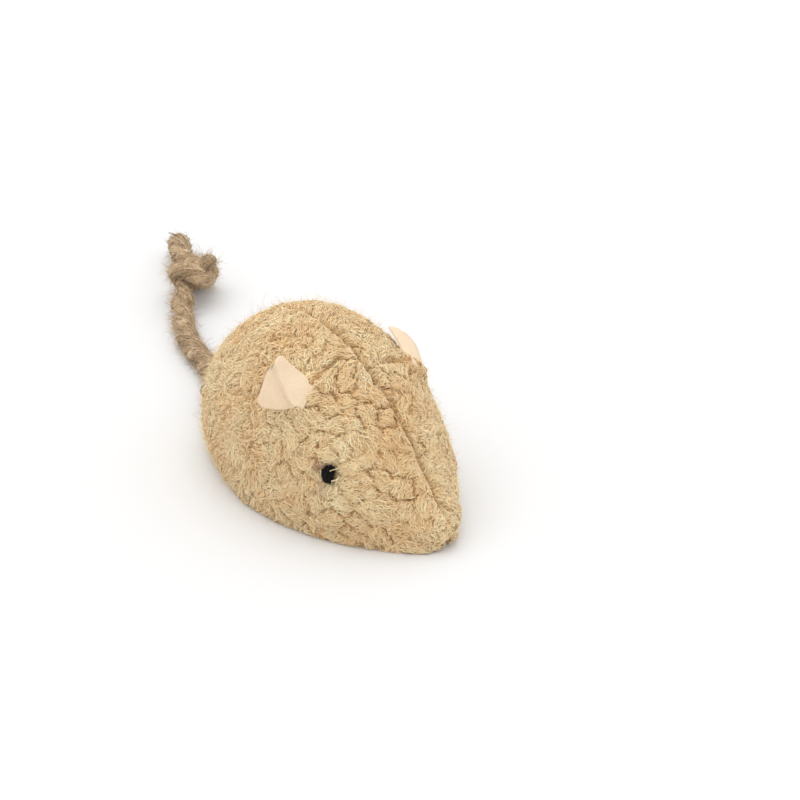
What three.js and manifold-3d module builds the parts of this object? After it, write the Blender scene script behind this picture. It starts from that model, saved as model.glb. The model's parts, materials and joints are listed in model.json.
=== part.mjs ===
// Catnip mouse: a curly fleece skin of two side panels and a flat belly panel, stuffed with fibre and
// dried catnip, with felt ears sewn into darts, knotted thread eyes and a knotted jute rope tail.
// Millimetres. The nose points to -Y, +Z is up, and the belly rests on z = 0 below the body's middle.
import * as THREE from 'three';
import { mergeVertices } from 'three/addons/utils/BufferGeometryUtils.js';
import Module from 'manifold-3d';

const wasm = await Module();
wasm.setup();

// Body sizes
const BODY_LENGTH = 80;
const BODY_WIDTH = 47;
const BODY_HEIGHT = 44;
const WIDEST_HEIGHT = 13;
const NOSE_TIP_HEIGHT = 4.6;
const TAIL_TIP_HEIGHT = 6;
const NOSE_ROUND = 4.5;
const REAR_ROUND = 8;
const BELLY_SHARE = 0.92;
const REAR_BELLY_SHARE = 0.66;
const BELLY_NARROWS = [0.55, 0.95];
const BACK_ROUNDNESS = 2.2;

// How fast width and height grow from each tip: 0.5 is round, 1 is a cone
const NOSE_WIDTH_TAPER = 0.68;
const REAR_WIDTH_TAPER = 0.62;
const NOSE_HEIGHT_TAPER = 0.86;
const REAR_HEIGHT_TAPER = 0.64;

// Fleece, seams and thread
const FLEECE = 3.5;
const BELLY_FLEECE = 1.6;
const BELLY_SEAM_HEIGHT = 3.2;
const SEAM_THREAD = 0.8;
const SEAM_DEPTH = 1.2;
const BACK_SEAM_SPAN = [0.06, 0.93];
const BELLY_SEAM_SPAN = [0.08, 0.92];
const CLEARANCE = 0.3;

// Matted locks of the fleece: broad on the face, closer and narrower on the rear. Hollows run between them,
// some open and some shallow, and fade out towards the belly
const LOCKS = 900;
const LOCK_FACE = [-14, 14];
const LOCK_CROWDING = 1.3;
const LOCK_STRETCH = 0.4;
const LOCK_STRAY = 1.4;
const LOCK_ROUND = 1.1;
const LOCK_DOME = 0.3;
const HOLLOW_DEPTH = 0.9;
const HOLLOW_WIDTH = 0.7;
const HOLLOW_HEIGHTS = [4.5, 8];
const OPENNESS = 1.7;
const CLOSED_SHARE = 0.1;
const REAR_CLOSING = 0.45;

// Ears: felt leaves that widen from a sewn foot, held in a dart across the skin. Each sits where its own
// hand-sewn dart is: y along the body, angle up the back and sweep of the leaf to the rear, in degrees
const EAR = {
  left: { y: -13, angle: 47, sweep: 46 },
  right: { y: -8.3, angle: 48.2, sweep: 35 },
};
const EAR_WIDTH = 12.2;
const EAR_HEIGHT = 9.6;
const EAR_CORNER = 2.8;
const EAR_FLARE = 0.5;
const EAR_FOOT = 7;
const EAR_FOOT_DEPTH = 2.4;
const EAR_LIFT = 0.5;
const FELT = 1.2;

// The ear's pleat: how far the leaf falls back from it, and its line as shares of the half-width at foot and rim
const PLEAT_FALL = 1.3;
const PLEAT_LINE = [-1, 0.45];

// The dart's stitched line, from near the back seam to just above the ear, as angles up the back
const DART_TOP = 80;
const DART_GAP = 12;
const DART_DEPTH = 0.5;

// Eyes: knots of embroidery thread, one sewn a little lower than the other, at angles up the cheek
const EYE_Y = -19.2;
const EYE_ANGLE = { left: 5, right: 19 };
const EYE_WIDTH = 3.2;
const EYE_HEIGHT = 4.6;
const EYE_DEPTH = 2.4;
const EYE_SINK = 0.5;
const EYE_THREAD = 0.8;

// Stuffing and catnip
const CATNIP_Y = 4;
const CATNIP_HEIGHT = 20;
const CATNIP_SIZE = [18, 22, 15];

// Hand stitches that close the stuffing opening in the right belly seam
const CLOSING_SPAN = [-17, 4];
const CLOSING_STITCHES = 7;
const CLOSING_RISE = 1.3;
const CLOSING_THREAD = 0.7;

// Rope tail
const ROPE = 5.6;
const ROPE_SIDES = 10;
const ROOT_LENGTH = 13;
const ROOT_OUT = 0.4;
const WHIPPING = 0.8;
const WHIPPING_INSET = 10;
const KNOT_TURNS = 1.4;
const KNOT_WRAP = 4.2;
const KNOT_PITCH = 4.2;
const KNOT_ROPE = 5.2;
const KNOT_LENGTH = 12.6;
const FRAY = 6.2;

// The tail's pivot, one rope radius outside the root
const PIVOT_Y = BODY_LENGTH / 2 + ROOT_OUT + CLEARANCE + ROPE / 2;

// Free rope from the bend to the knot: sideways, backwards from the pivot, and height above the floor
const ROPE_ROUTE = [
  [2.3, 2.1, 5.9], [5.2, 4.6, 5], [8.6, 8.6, 3.8], [11.2, 13.2, 3], [13, 18.5, 2.9], [14.8, 24, 2.9],
  [17.9, 30.4, 2.9], [22.3, 37, 2.9], [26.4, 42.6, 3.3], [29, 45.1, 4.7], [31.6, 47.1, 5.7],
];
const KNOT_CENTRE = [37.3, 51, 6.9];
const END_ROUTE = [[39.8, 56.8, 6.8], [41.4, 60.2, 6.6], [43.7, 63.6, 6.2], [47.6, 68.3, 5], [51.5, 73.2, 3.6]];

// Mesh density
const SMOOTH_GRID = { stations: 20, belly: 2, flank: 3, back: 7 };
const FLEECE_GRID = { stations: 44, belly: 2, flank: 8, back: 21 };
const AREA_STEPS = 200;
const BALL_SIDES = 12;
const BALL_RINGS = 8;
const THREAD_SIDES = 6;
const WHIPPING_SIDES = 16;
const SEAM_STEPS = 16;
const DART_STEPS = 4;
const EAR_ROWS = 7;
const EAR_COLUMNS = 6;
const ROPE_STEPS = 18;
const KNOT_STEPS = 18;
const KNOT_SIDES = 8;
const CORE_STEPS = 4;
const END_STEPS = 6;

// Golden section, for even steps round the body, and a formula for chance values between 0 and 1
const GOLDEN = (Math.sqrt(5) - 1) / 2;
const CHANCE_STEP = 12.9898;
const CHANCE_SCALE = 43758.5453;

// Small step for slopes, in millimetres or degrees; weld for shared corners; reach past the whole object
const NUDGE = 0.5;
const WELD = 1e-4;
const FAR = 200;

const SIDE = { left: 1, right: -1 };
const vec = (x, y, z) => new THREE.Vector3(x, y, z);

// Solids: closed geometry in, closed geometry out
function toSolid(geometry) {
  const bare = geometry.clone();
  bare.deleteAttribute('normal');
  bare.deleteAttribute('uv');
  const welded = mergeVertices(bare, WELD);
  const mesh = new wasm.Mesh({
    numProp: 3,
    vertProperties: Float32Array.from(welded.attributes.position.array),
    triVerts: Uint32Array.from(welded.index.array),
  });
  return new wasm.Manifold(mesh);
}

function toGeometry(solid) {
  const mesh = solid.getMesh();
  const geometry = new THREE.BufferGeometry();
  geometry.setAttribute('position', new THREE.BufferAttribute(Float32Array.from(mesh.vertProperties), 3));
  geometry.setIndex(new THREE.BufferAttribute(Uint32Array.from(mesh.triVerts), 1));
  geometry.computeVertexNormals();
  return geometry;
}

function box(low, high) {
  const size = high.clone().sub(low);
  const middle = low.clone().add(high).multiplyScalar(0.5);
  return toSolid(new THREE.BoxGeometry(size.x, size.y, size.z).translate(middle.x, middle.y, middle.z));
}

function ellipsoid(centre, radii, basis) {
  const ball = new THREE.SphereGeometry(1, BALL_SIDES, BALL_RINGS).scale(radii.x, radii.y, radii.z);
  if (basis) ball.applyMatrix4(basis);
  return toSolid(ball.translate(centre.x, centre.y, centre.z));
}

// A round tube along a smooth curve through the points
function tubeGeometry(points, diameter, sides, steps) {
  const ring = [];
  for (let i = 0; i < sides; i += 1) {
    const turn = (2 * Math.PI * i) / sides;
    ring.push(new THREE.Vector2(Math.cos(turn) * diameter / 2, Math.sin(turn) * diameter / 2));
  }
  const path = new THREE.CatmullRomCurve3(points);
  return new THREE.ExtrudeGeometry(new THREE.Shape(ring), { steps, bevelEnabled: false, extrudePath: path });
}

const tube = (points, diameter, sides, steps) => toSolid(tubeGeometry(points, diameter, sides, steps));

// Body surface: each cross-section has a flat belly, a rounded flank up to the widest line and an arched back
const outerForm = { length: BODY_LENGTH, width: BODY_WIDTH, height: BODY_HEIGHT, base: 0 };

// The body's form drawn in by a distance: belly separately, because the fleece is pressed thin there
function inset(distance, belly = distance) {
  return {
    length: BODY_LENGTH - 2 * distance,
    width: BODY_WIDTH - 2 * distance,
    height: BODY_HEIGHT - distance,
    base: belly,
  };
}

// Share of the full size at s, 0 at both tips and 1 at the fullest station
function taper(s, nose, rear) {
  const fullest = nose / (nose + rear);
  const share = (at) => at ** nose * (1 - at) ** rear;
  return share(s) / share(fullest);
}

function section(form, s) {
  const fullness = taper(s, NOSE_HEIGHT_TAPER, REAR_HEIGHT_TAPER);
  const tip = THREE.MathUtils.lerp(NOSE_TIP_HEIGHT, TAIL_TIP_HEIGHT, s);
  const widest = tip + (WIDEST_HEIGHT - tip) * fullness;
  const towardsTip = Math.min(1, (s * form.length) / NOSE_ROUND, ((1 - s) * form.length) / REAR_ROUND);
  const flat = Math.sqrt(1 - (1 - towardsTip) ** 2);
  const half = (form.width / 2) * taper(s, NOSE_WIDTH_TAPER, REAR_WIDTH_TAPER);
  const narrows = THREE.MathUtils.smoothstep(s, BELLY_NARROWS[0], BELLY_NARROWS[1]);
  return {
    y: form.length * (s - 0.5),
    half,
    belly: half * THREE.MathUtils.lerp(BELLY_SHARE, REAR_BELLY_SHARE, narrows),
    widest,
    top: widest + (form.height - WIDEST_HEIGHT) * fullness,
    bottom: widest - (widest - form.base) * flat,
  };
}

// Point on the arched back at an angle in degrees: 0 on the widest line, 90 on the back seam
function backPoint(form, y, angle, side) {
  const at = section(form, y / form.length + 0.5);
  const turn = THREE.MathUtils.degToRad(angle);
  const power = 2 / BACK_ROUNDNESS;
  const x = at.half * Math.cos(turn) ** power;
  return vec(side * x, y, at.widest + (at.top - at.widest) * Math.sin(turn) ** power);
}

// Point on the rounded flank below the widest line, at a height
function flankPoint(form, s, height, side) {
  const at = section(form, s);
  const drop = Math.min(1, (at.widest - height) / (at.widest - at.bottom));
  const reach = at.belly + (at.half - at.belly) * Math.sqrt(1 - drop ** 2);
  return vec(side * reach, at.y, height);
}

function backNormal(form, y, angle, side) {
  const along = backPoint(form, y + NUDGE, angle, side).sub(backPoint(form, y - NUDGE, angle, side));
  const up = backPoint(form, y, angle + NUDGE, side).sub(backPoint(form, y, angle - NUDGE, side));
  return along.cross(up).multiplyScalar(side).normalize();
}

// Point of the body at a turn round its cross-section: 0 under the belly, 1 at the belly's edge, 2 on the widest
// line and 3 on the back seam
function skinPoint(form, s, turn, side) {
  const at = section(form, s);
  if (turn < 1) return vec(side * at.belly * turn, at.y, at.bottom);
  const angle = (Math.PI / 2) * (turn - (turn < 2 ? 1 : 2));
  if (turn < 2) {
    const x = at.belly + (at.half - at.belly) * Math.sin(angle);
    return vec(side * x, at.y, at.widest - (at.widest - at.bottom) * Math.cos(angle));
  }
  const power = 2 / BACK_ROUNDNESS;
  const x = turn === 3 ? 0 : at.half * Math.cos(angle) ** power;
  return vec(side * x, at.y, at.widest + (at.top - at.widest) * Math.sin(angle) ** power);
}

// Locks of the fleece: even places on the skin, one golden-section step round the body after the other
const bell = (distance, width) => Math.exp(-((distance / width) ** 2));
const fraction = (value) => value - Math.floor(value);
const chance = (k, kind) => fraction(Math.sin(k * CHANCE_STEP + kind) * CHANCE_SCALE);
const rearward = (y) => THREE.MathUtils.smoothstep(y, LOCK_FACE[0], LOCK_FACE[1]);
const quarterRound = (a, b) => (Math.PI / 2) * Math.sqrt((a * a + b * b) / 2);

// The rear drawn out along the body, so that locks which are even here are narrow there
const drawnOut = (point) => vec(point.x, point.y + LOCK_STRETCH * Math.max(0, point.y - LOCK_FACE[0]), point.z);

// Turn round the cross-section at a share of its half girth
function turnAt(share) {
  const belly = (BELLY_SHARE * BODY_WIDTH) / 2;
  const flank = quarterRound(((1 - BELLY_SHARE) * BODY_WIDTH) / 2, WIDEST_HEIGHT);
  const back = quarterRound(BODY_WIDTH / 2, BODY_HEIGHT - WIDEST_HEIGHT);
  const way = share * (belly + flank + back);
  if (way < belly) return way / belly;
  if (way < belly + flank) return 1 + (way - belly) / flank;
  return Math.min(3, 2 + (way - belly - flank) / back);
}

function lockPlaces() {
  const area = [0];
  for (let i = 0; i < AREA_STEPS; i += 1) {
    const at = section(outerForm, (i + 0.5) / AREA_STEPS);
    area.push(area[i] + (at.half + at.top - at.bottom) * (1 + LOCK_CROWDING * rearward(at.y)));
  }
  let step = 0;
  return Array.from({ length: LOCKS }, (_, k) => {
    const wanted = ((k + 0.5) / LOCKS) * area[AREA_STEPS];
    while (area[step + 1] < wanted) step += 1;
    const s = (step + (wanted - area[step]) / (area[step + 1] - area[step])) / AREA_STEPS;
    const stray = (LOCK_STRAY * (chance(k, 1) - 0.5)) / BODY_LENGTH;
    const round = 2 * fraction(k * GOLDEN + (LOCK_STRAY * (chance(k, 2) - 0.5)) / BODY_LENGTH) - 1;
    const at = THREE.MathUtils.clamp(s + stray, 0, 1);
    const point = skinPoint(outerForm, at, turnAt(Math.abs(round)), Math.sign(round));
    return { seed: drawnOut(point), split: chance(k, 3), rear: rearward(point.y) };
  });
}

const locks = lockPlaces();

// How far the fleece lies under its form at a point: least inside a lock, most in an open hollow between two
function hollowAt(point) {
  const here = drawnOut(point);
  let [own, other] = [null, null];
  let [near, next] = [Infinity, Infinity];
  for (const lock of locks) {
    const far = lock.seed.distanceToSquared(here);
    if (far < near) [own, other, near, next] = [lock, own, far, near];
    else if (far < next) [other, next] = [lock, far];
  }
  const border = (next - near) / (2 * own.seed.distanceTo(other.seed));
  const parted = OPENNESS * Math.abs(own.split - other.split) - CLOSED_SHARE;
  const open = THREE.MathUtils.clamp(parted, 0, 1) * (1 - REAR_CLOSING * own.rear);
  const fade = THREE.MathUtils.smoothstep(point.z, HOLLOW_HEIGHTS[0], HOLLOW_HEIGHTS[1]);
  return fade * (LOCK_DOME * bell(border, LOCK_ROUND) + HOLLOW_DEPTH * open * bell(border, HOLLOW_WIDTH));
}

// A fleece point is drawn in towards the middle of its cross-section
function fleecePoint(form, s, turn, side) {
  const point = skinPoint(form, s, turn, side);
  const inwards = vec(0, point.y, section(form, s).widest).sub(point);
  return point.addScaledVector(inwards.normalize(), hollowAt(point));
}

// Closed body: rings of points from the belly's middle round to the back seam and back, between two tips
function bodySolid(form, grid = SMOOTH_GRID, place = skinPoint) {
  const turns = [
    ...Array.from({ length: grid.belly }, (_, i) => i / grid.belly),
    ...Array.from({ length: grid.flank }, (_, i) => 1 + i / grid.flank),
    ...Array.from({ length: grid.back + 1 }, (_, i) => 2 + i / grid.back),
  ];
  const round = [...turns.map((turn) => [turn, 1]), ...turns.slice(1, -1).reverse().map((turn) => [turn, -1])];
  const count = round.length;
  const points = [vec(0, -form.length / 2, NOSE_TIP_HEIGHT)];
  for (let j = 1; j < grid.stations; j += 1) {
    const s = 0.5 - 0.5 * Math.cos((Math.PI * j) / grid.stations);
    for (const [turn, side] of round) points.push(place(form, s, turn, side));
  }
  points.push(vec(0, form.length / 2, TAIL_TIP_HEIGHT));
  const last = points.length - 1;
  const at = (j, i) => 1 + j * count + (i % count);
  const index = [];
  for (let i = 0; i < count; i += 1) {
    index.push(0, at(0, i), at(0, i + 1));
    index.push(last, at(grid.stations - 2, i + 1), at(grid.stations - 2, i));
    for (let j = 0; j < grid.stations - 2; j += 1) {
      index.push(at(j, i), at(j + 1, i), at(j + 1, i + 1));
      index.push(at(j, i), at(j + 1, i + 1), at(j, i + 1));
    }
  }
  const geometry = new THREE.BufferGeometry().setFromPoints(points);
  geometry.setIndex(index);
  return toSolid(geometry);
}

// Seam lines, sunk below the fleece's surface
const seamForm = inset(SEAM_DEPTH);

function spanPoints(span, count, place) {
  return Array.from({ length: count + 1 }, (_, i) => place(span[0] + ((span[1] - span[0]) * i) / count));
}

const backSeam = spanPoints(BACK_SEAM_SPAN, SEAM_STEPS, (s) => {
  const at = section(seamForm, s);
  return vec(0, at.y, at.top);
});
const bellySeam = (side) => spanPoints(BELLY_SEAM_SPAN, SEAM_STEPS,
  (s) => flankPoint(seamForm, s, BELLY_SEAM_HEIGHT, side));
const dartForm = inset(DART_DEPTH);
const dartSeam = (name) => {
  const { y, angle } = EAR[name];
  return spanPoints([DART_TOP, angle + DART_GAP], DART_STEPS, (at) => backPoint(dartForm, y, at, SIDE[name]));
};
const threadIn = (points, steps) => tube(points, SEAM_THREAD, THREAD_SIDES, steps);
const channel = (points, steps) => tube(points, SEAM_THREAD + 2 * CLEARANCE, THREAD_SIDES, steps);

// Ear frame: the foot's line runs up the skin along the dart, and the leaf stands out, swept to the rear
function earFrame(name) {
  const { y, angle, sweep } = EAR[name];
  const side = SIDE[name];
  const foot = backPoint(outerForm, y, angle, side);
  const above = backPoint(outerForm, y, angle + NUDGE, side);
  const below = backPoint(outerForm, y, angle - NUDGE, side);
  const along = above.sub(below).normalize();
  const out = vec(side * along.z, 0, -side * along.x);
  const turn = THREE.MathUtils.degToRad(sweep);
  const leaf = out.clone().multiplyScalar(Math.cos(turn)).add(vec(0, Math.sin(turn), 0));
  const facing = out.clone().multiplyScalar(Math.sin(turn)).add(vec(0, -Math.cos(turn), 0));
  const hinge = foot.clone().addScaledVector(out, EAR_LIFT);
  return { foot, along, out, leaf, facing, hinge };
}

// Half-width of the leaf from the foot at v = 0 to the rounded rim at v = 1
function leafHalf(v) {
  const straight = 1 - EAR_CORNER / EAR_HEIGHT;
  const corner = Math.max(0, v - straight) / (1 - straight);
  const fan = THREE.MathUtils.lerp(EAR_FOOT / 2, EAR_WIDTH / 2, v ** EAR_FLARE);
  return fan - EAR_CORNER * (1 - Math.sqrt(1 - corner ** 2));
}

// A felt leaf with a slanting pleat: two skins a felt thickness apart, joined round the rim
function earGeometry(name) {
  const { along, leaf, facing, hinge } = earFrame(name);
  const positions = [];
  const index = [];
  const columns = EAR_COLUMNS + 1;
  for (const skin of [-0.5, 0.5]) {
    for (let row = 0; row <= EAR_ROWS; row += 1) {
      const v = Math.sin((Math.PI / 2) * (row / EAR_ROWS));
      const pleat = THREE.MathUtils.lerp(PLEAT_LINE[0], PLEAT_LINE[1], v);
      for (let column = 0; column < columns; column += 1) {
        const u = (2 * column) / EAR_COLUMNS - 1;
        const forward = FELT * skin - PLEAT_FALL * Math.abs(u - pleat) * v;
        const point = hinge.clone().addScaledVector(along, leafHalf(v) * u);
        point.addScaledVector(facing, forward).addScaledVector(leaf, EAR_HEIGHT * v);
        positions.push(point.x, point.y, point.z);
      }
    }
  }
  const skinSize = columns * (EAR_ROWS + 1);
  const at = (skin, row, column) => skin * skinSize + row * columns + column;
  const quad = (a, b, c, d) => index.push(a, b, c, a, c, d);
  const end = EAR_COLUMNS;
  for (let row = 0; row < EAR_ROWS; row += 1) {
    for (let c = 0; c < end; c += 1) {
      quad(at(0, row, c), at(0, row + 1, c), at(0, row + 1, c + 1), at(0, row, c + 1));
      quad(at(1, row, c), at(1, row, c + 1), at(1, row + 1, c + 1), at(1, row + 1, c));
    }
    quad(at(0, row, 0), at(1, row, 0), at(1, row + 1, 0), at(0, row + 1, 0));
    quad(at(0, row, end), at(0, row + 1, end), at(1, row + 1, end), at(1, row, end));
  }
  for (let c = 0; c < end; c += 1) {
    quad(at(0, 0, c), at(0, 0, c + 1), at(1, 0, c + 1), at(1, 0, c));
    quad(at(0, EAR_ROWS, c), at(1, EAR_ROWS, c), at(1, EAR_ROWS, c + 1), at(0, EAR_ROWS, c + 1));
  }
  if (along.clone().cross(leaf).dot(facing) < 0) index.reverse();
  const geometry = new THREE.BufferGeometry();
  geometry.setAttribute('position', new THREE.BufferAttribute(new Float32Array(positions), 3));
  geometry.setIndex(index);
  return geometry;
}

// A block in the ear's dart, from a depth under the skin to a height over it
function dartBlock(name, width, thickness, low, high) {
  const { foot, along, out } = earFrame(name);
  const block = new THREE.BoxGeometry(width, thickness, high - low).translate(0, 0, (low + high) / 2);
  block.applyMatrix4(new THREE.Matrix4().makeBasis(along, out.clone().cross(along), out));
  return toSolid(block.translate(foot.x, foot.y, foot.z));
}

const earFoot = (name) => dartBlock(name, EAR_FOOT, FELT, -EAR_FOOT_DEPTH - CLEARANCE, -CLEARANCE);

// Eye frame: columns run level, up the cheek and out of it
function eyeFrame(name) {
  const side = SIDE[name];
  const normal = backNormal(outerForm, EYE_Y, EYE_ANGLE[name], side);
  const level = vec(0, 0, 1).cross(normal).normalize();
  const up = normal.clone().cross(level);
  const centre = backPoint(outerForm, EYE_Y, EYE_ANGLE[name], side).addScaledVector(normal, -EYE_SINK);
  return { centre, normal, basis: new THREE.Matrix4().makeBasis(level, up, normal) };
}

function eyeSolid(name, grow) {
  const { centre, basis } = eyeFrame(name);
  return ellipsoid(centre, vec(EYE_WIDTH / 2 + grow, EYE_HEIGHT / 2 + grow, EYE_DEPTH / 2 + grow), basis);
}

// Thread through the head, from behind one eye to behind the other
const eyeThreadEnd = (name) => {
  const { centre, normal } = eyeFrame(name);
  return centre.addScaledVector(normal, -EYE_DEPTH / 2 - CLEARANCE - EYE_THREAD / 2);
};
const eyeThreadPoints = [eyeThreadEnd('right'), eyeThreadEnd('left')];
const eyeThread = (diameter) => tube(eyeThreadPoints, diameter, THREAD_SIDES, 1);

// Round bar along Y on the tail's line
function tailBar(from, to, diameter) {
  return tube([vec(0, from, TAIL_TIP_HEIGHT), vec(0, to, TAIL_TIP_HEIGHT)], diameter, ROPE_SIDES, 1);
}

const rootEnd = BODY_LENGTH / 2 + ROOT_OUT;
const rootStart = rootEnd - ROOT_LENGTH;
const whippingY = BODY_LENGTH / 2 - WHIPPING_INSET;

function whippingGeometry() {
  const reach = ROPE / 2 + CLEARANCE + WHIPPING / 2;
  const ring = new THREE.TorusGeometry(reach, WHIPPING / 2, THREAD_SIDES, WHIPPING_SIDES);
  return ring.rotateX(Math.PI / 2).translate(0, whippingY, TAIL_TIP_HEIGHT);
}

// Skin: the outer form less the hollow, cut along the seams
const hollow = bodySolid(inset(FLEECE, BELLY_FLEECE));
const tailHole = tailBar(rootStart - CLEARANCE, BODY_LENGTH, ROPE + 2 * CLEARANCE);
const skin = bodySolid(outerForm, FLEECE_GRID, fleecePoint).subtract(hollow).subtract(tailHole);
const lowerHalf = box(vec(-FAR, -FAR, -FAR), vec(FAR, FAR, BELLY_SEAM_HEIGHT - CLEARANCE / 2));

function sidePanel(name) {
  const side = SIDE[name];
  const near = (side * CLEARANCE) / 2;
  const low = vec(Math.min(near, side * FAR), -FAR, BELLY_SEAM_HEIGHT + CLEARANCE / 2);
  const high = vec(Math.max(near, side * FAR), FAR, FAR);
  const slotDepth = EAR_FOOT_DEPTH + 2 * CLEARANCE;
  return skin.intersect(box(low, high))
    .subtract(channel(backSeam, SEAM_STEPS))
    .subtract(channel(bellySeam(side), SEAM_STEPS))
    .subtract(channel(dartSeam(name), DART_STEPS))
    .subtract(dartBlock(name, EAR_FOOT + 2 * CLEARANCE, FELT + 2 * CLEARANCE, -slotDepth, FELT))
    .subtract(eyeSolid(name, CLEARANCE))
    .subtract(eyeThread(EYE_THREAD + 2 * CLEARANCE));
}

const bellyPanel = skin.intersect(lowerHalf)
  .subtract(channel(bellySeam(SIDE.left), SEAM_STEPS))
  .subtract(channel(bellySeam(SIDE.right), SEAM_STEPS));

// Stuffing: fills the hollow, parted where the catnip lies
const catnipCentre = vec(0, CATNIP_Y, CATNIP_HEIGHT);
const catnipRadii = vec(CATNIP_SIZE[0] / 2, CATNIP_SIZE[1] / 2, CATNIP_SIZE[2] / 2);
const whippingReach = ROPE + 4 * CLEARANCE + 2 * WHIPPING;
const fill = bodySolid(inset(FLEECE + CLEARANCE, BELLY_FLEECE + CLEARANCE))
  .subtract(ellipsoid(catnipCentre, catnipRadii.clone().addScalar(CLEARANCE)))
  .subtract(eyeThread(EYE_THREAD + 2 * CLEARANCE))
  .subtract(tailBar(rootStart - CLEARANCE, BODY_LENGTH, whippingReach));
const headFill = fill.intersect(box(vec(-FAR, -FAR, -FAR), vec(FAR, CATNIP_Y - CLEARANCE / 2, FAR)));
const bodyFill = fill.intersect(box(vec(-FAR, CATNIP_Y + CLEARANCE / 2, -FAR), vec(FAR, FAR, FAR)));

// Closing stitches: one thread that crosses the right belly seam to and fro, just outside the fleece
function closingStitch() {
  const form = inset(-CLEARANCE - CLOSING_THREAD / 2);
  const count = 2 * CLOSING_STITCHES;
  const points = Array.from({ length: count + 1 }, (_, i) => {
    const y = CLOSING_SPAN[0] + ((CLOSING_SPAN[1] - CLOSING_SPAN[0]) * i) / count;
    const height = BELLY_SEAM_HEIGHT + (i % 2 ? CLOSING_RISE : -CLOSING_RISE);
    return flankPoint(form, y / form.length + 0.5, height, SIDE.right);
  });
  return tubeGeometry(points, CLOSING_THREAD, THREAD_SIDES, 2 * count);
}

// Tail points from the route's offsets
const tailPoint = ([x, back, height]) => vec(x, PIVOT_Y + back, height);
const knotCentre = tailPoint(KNOT_CENTRE);
const knotIn = knotCentre.clone().sub(tailPoint(ROPE_ROUTE.at(-1))).normalize();
const knotOut = tailPoint(END_ROUTE[0]).sub(knotCentre).normalize();
const knotAxis = knotIn.clone().add(knotOut).normalize();

// Overhand knot, pulled tight: the rope runs through a turn and a half of itself
function knotSolid() {
  const half = KNOT_LENGTH / 2 - CLEARANCE;
  const entry = knotCentre.clone().addScaledVector(knotIn, -half);
  const leaving = knotCentre.clone().addScaledVector(knotOut, half);
  const sideways = knotAxis.clone().cross(vec(0, 0, 1)).normalize();
  const upwards = sideways.clone().cross(knotAxis);
  const wrap = spanPoints([-0.5, 0.5], KNOT_STEPS, (share) => {
    const turn = 2 * Math.PI * KNOT_TURNS * share;
    return knotCentre.clone()
      .addScaledVector(knotAxis, KNOT_PITCH * KNOT_TURNS * share)
      .addScaledVector(sideways, KNOT_WRAP * Math.cos(turn))
      .addScaledVector(upwards, KNOT_WRAP * Math.sin(turn));
  });
  const core = tube([entry, knotCentre, leaving], ROPE, ROPE_SIDES, CORE_STEPS);
  return core.add(tube(wrap, KNOT_ROPE, KNOT_SIDES, KNOT_STEPS));
}

// Frayed end: the rope's last stretch, opening a little towards its tip
function frayedEndGeometry() {
  const points = END_ROUTE.map(tailPoint);
  const geometry = tubeGeometry(points, ROPE, ROPE_SIDES, END_STEPS);
  const path = new THREE.CatmullRomCurve3(points);
  const first = points[0];
  const chord = points.at(-1).clone().sub(first);
  const position = geometry.attributes.position;
  for (let i = 0; i < position.count; i += 1) {
    const point = vec(position.getX(i), position.getY(i), position.getZ(i));
    const share = THREE.MathUtils.clamp(point.clone().sub(first).dot(chord) / chord.lengthSq(), 0, 1);
    const centre = path.getPointAt(share);
    point.sub(centre).multiplyScalar(1 + (FRAY / ROPE - 1) * share).add(centre);
    position.setXYZ(i, point.x, point.y, point.z);
  }
  return geometry;
}

// Finishes, seen on the real object
const finish = (color, roughness) => new THREE.MeshStandardMaterial({ color, roughness, metalness: 0 });
const fleece = finish(0xd6b88c, 1);
const felt = finish(0xf0dcc0, 0.95);
const jute = finish(0xa58a68, 0.95);
const blackThread = finish(0x1a1716, 0.7);
const tanThread = finish(0xc9a878, 0.8);
const brownThread = finish(0x8a6440, 0.8);
const fibre = finish(0xf2f0ea, 1);
const herb = finish(0x76804c, 1);

const mouse = new THREE.Group();
mouse.name = 'catnip_mouse';

function addPiece(name, shape, material) {
  const mesh = new THREE.Mesh(shape.isBufferGeometry ? shape : toGeometry(shape), material);
  mesh.name = name;
  mouse.add(mesh);
}

for (const [name, side] of Object.entries(SIDE)) {
  addPiece(`${name}_side_panel`, sidePanel(name), fleece);
  addPiece(`${name}_belly_seam_thread`, threadIn(bellySeam(side), SEAM_STEPS), tanThread);
  addPiece(`${name}_dart_thread`, threadIn(dartSeam(name), DART_STEPS), tanThread);
  addPiece(`${name}_ear_foot`, earFoot(name), felt);
  addPiece(`${name}_ear`, earGeometry(name), felt);
  addPiece(`${name}_eye`, eyeSolid(name, 0), blackThread);
}
addPiece('belly_panel', bellyPanel, fleece);
addPiece('back_seam_thread', threadIn(backSeam, SEAM_STEPS), tanThread);
addPiece('closing_stitch', closingStitch(), brownThread);
addPiece('eye_thread', eyeThread(EYE_THREAD), blackThread);
addPiece('head_stuffing', headFill, fibre);
addPiece('body_stuffing', bodyFill, fibre);
addPiece('dried_catnip', ellipsoid(catnipCentre, catnipRadii), herb);
addPiece('tail_root', tailBar(rootStart, rootEnd, ROPE), jute);
addPiece('tail_whipping', whippingGeometry(), tanThread);
addPiece('tail_bend', ellipsoid(vec(0, PIVOT_Y, TAIL_TIP_HEIGHT), vec(ROPE / 2, ROPE / 2, ROPE / 2)), jute);
addPiece('tail_rope', tubeGeometry(ROPE_ROUTE.map(tailPoint), ROPE, ROPE_SIDES, ROPE_STEPS), jute);
addPiece('tail_knot', knotSolid(), jute);
addPiece('tail_end', frayedEndGeometry(), jute);

export default mouse;
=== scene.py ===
# %% [markdown]
# # A catnip mouse
# The toy fits in a palm: a stuffed body of curly fleece, felt ears, eyes of black thread and a tail of jute
# rope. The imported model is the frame. It gives sizes, joints and places, and this lesson dresses it. Each
# surface is a formula worked out on whole numpy arrays, because a formula can be changed later and a
# sculpted mesh can't.

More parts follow.
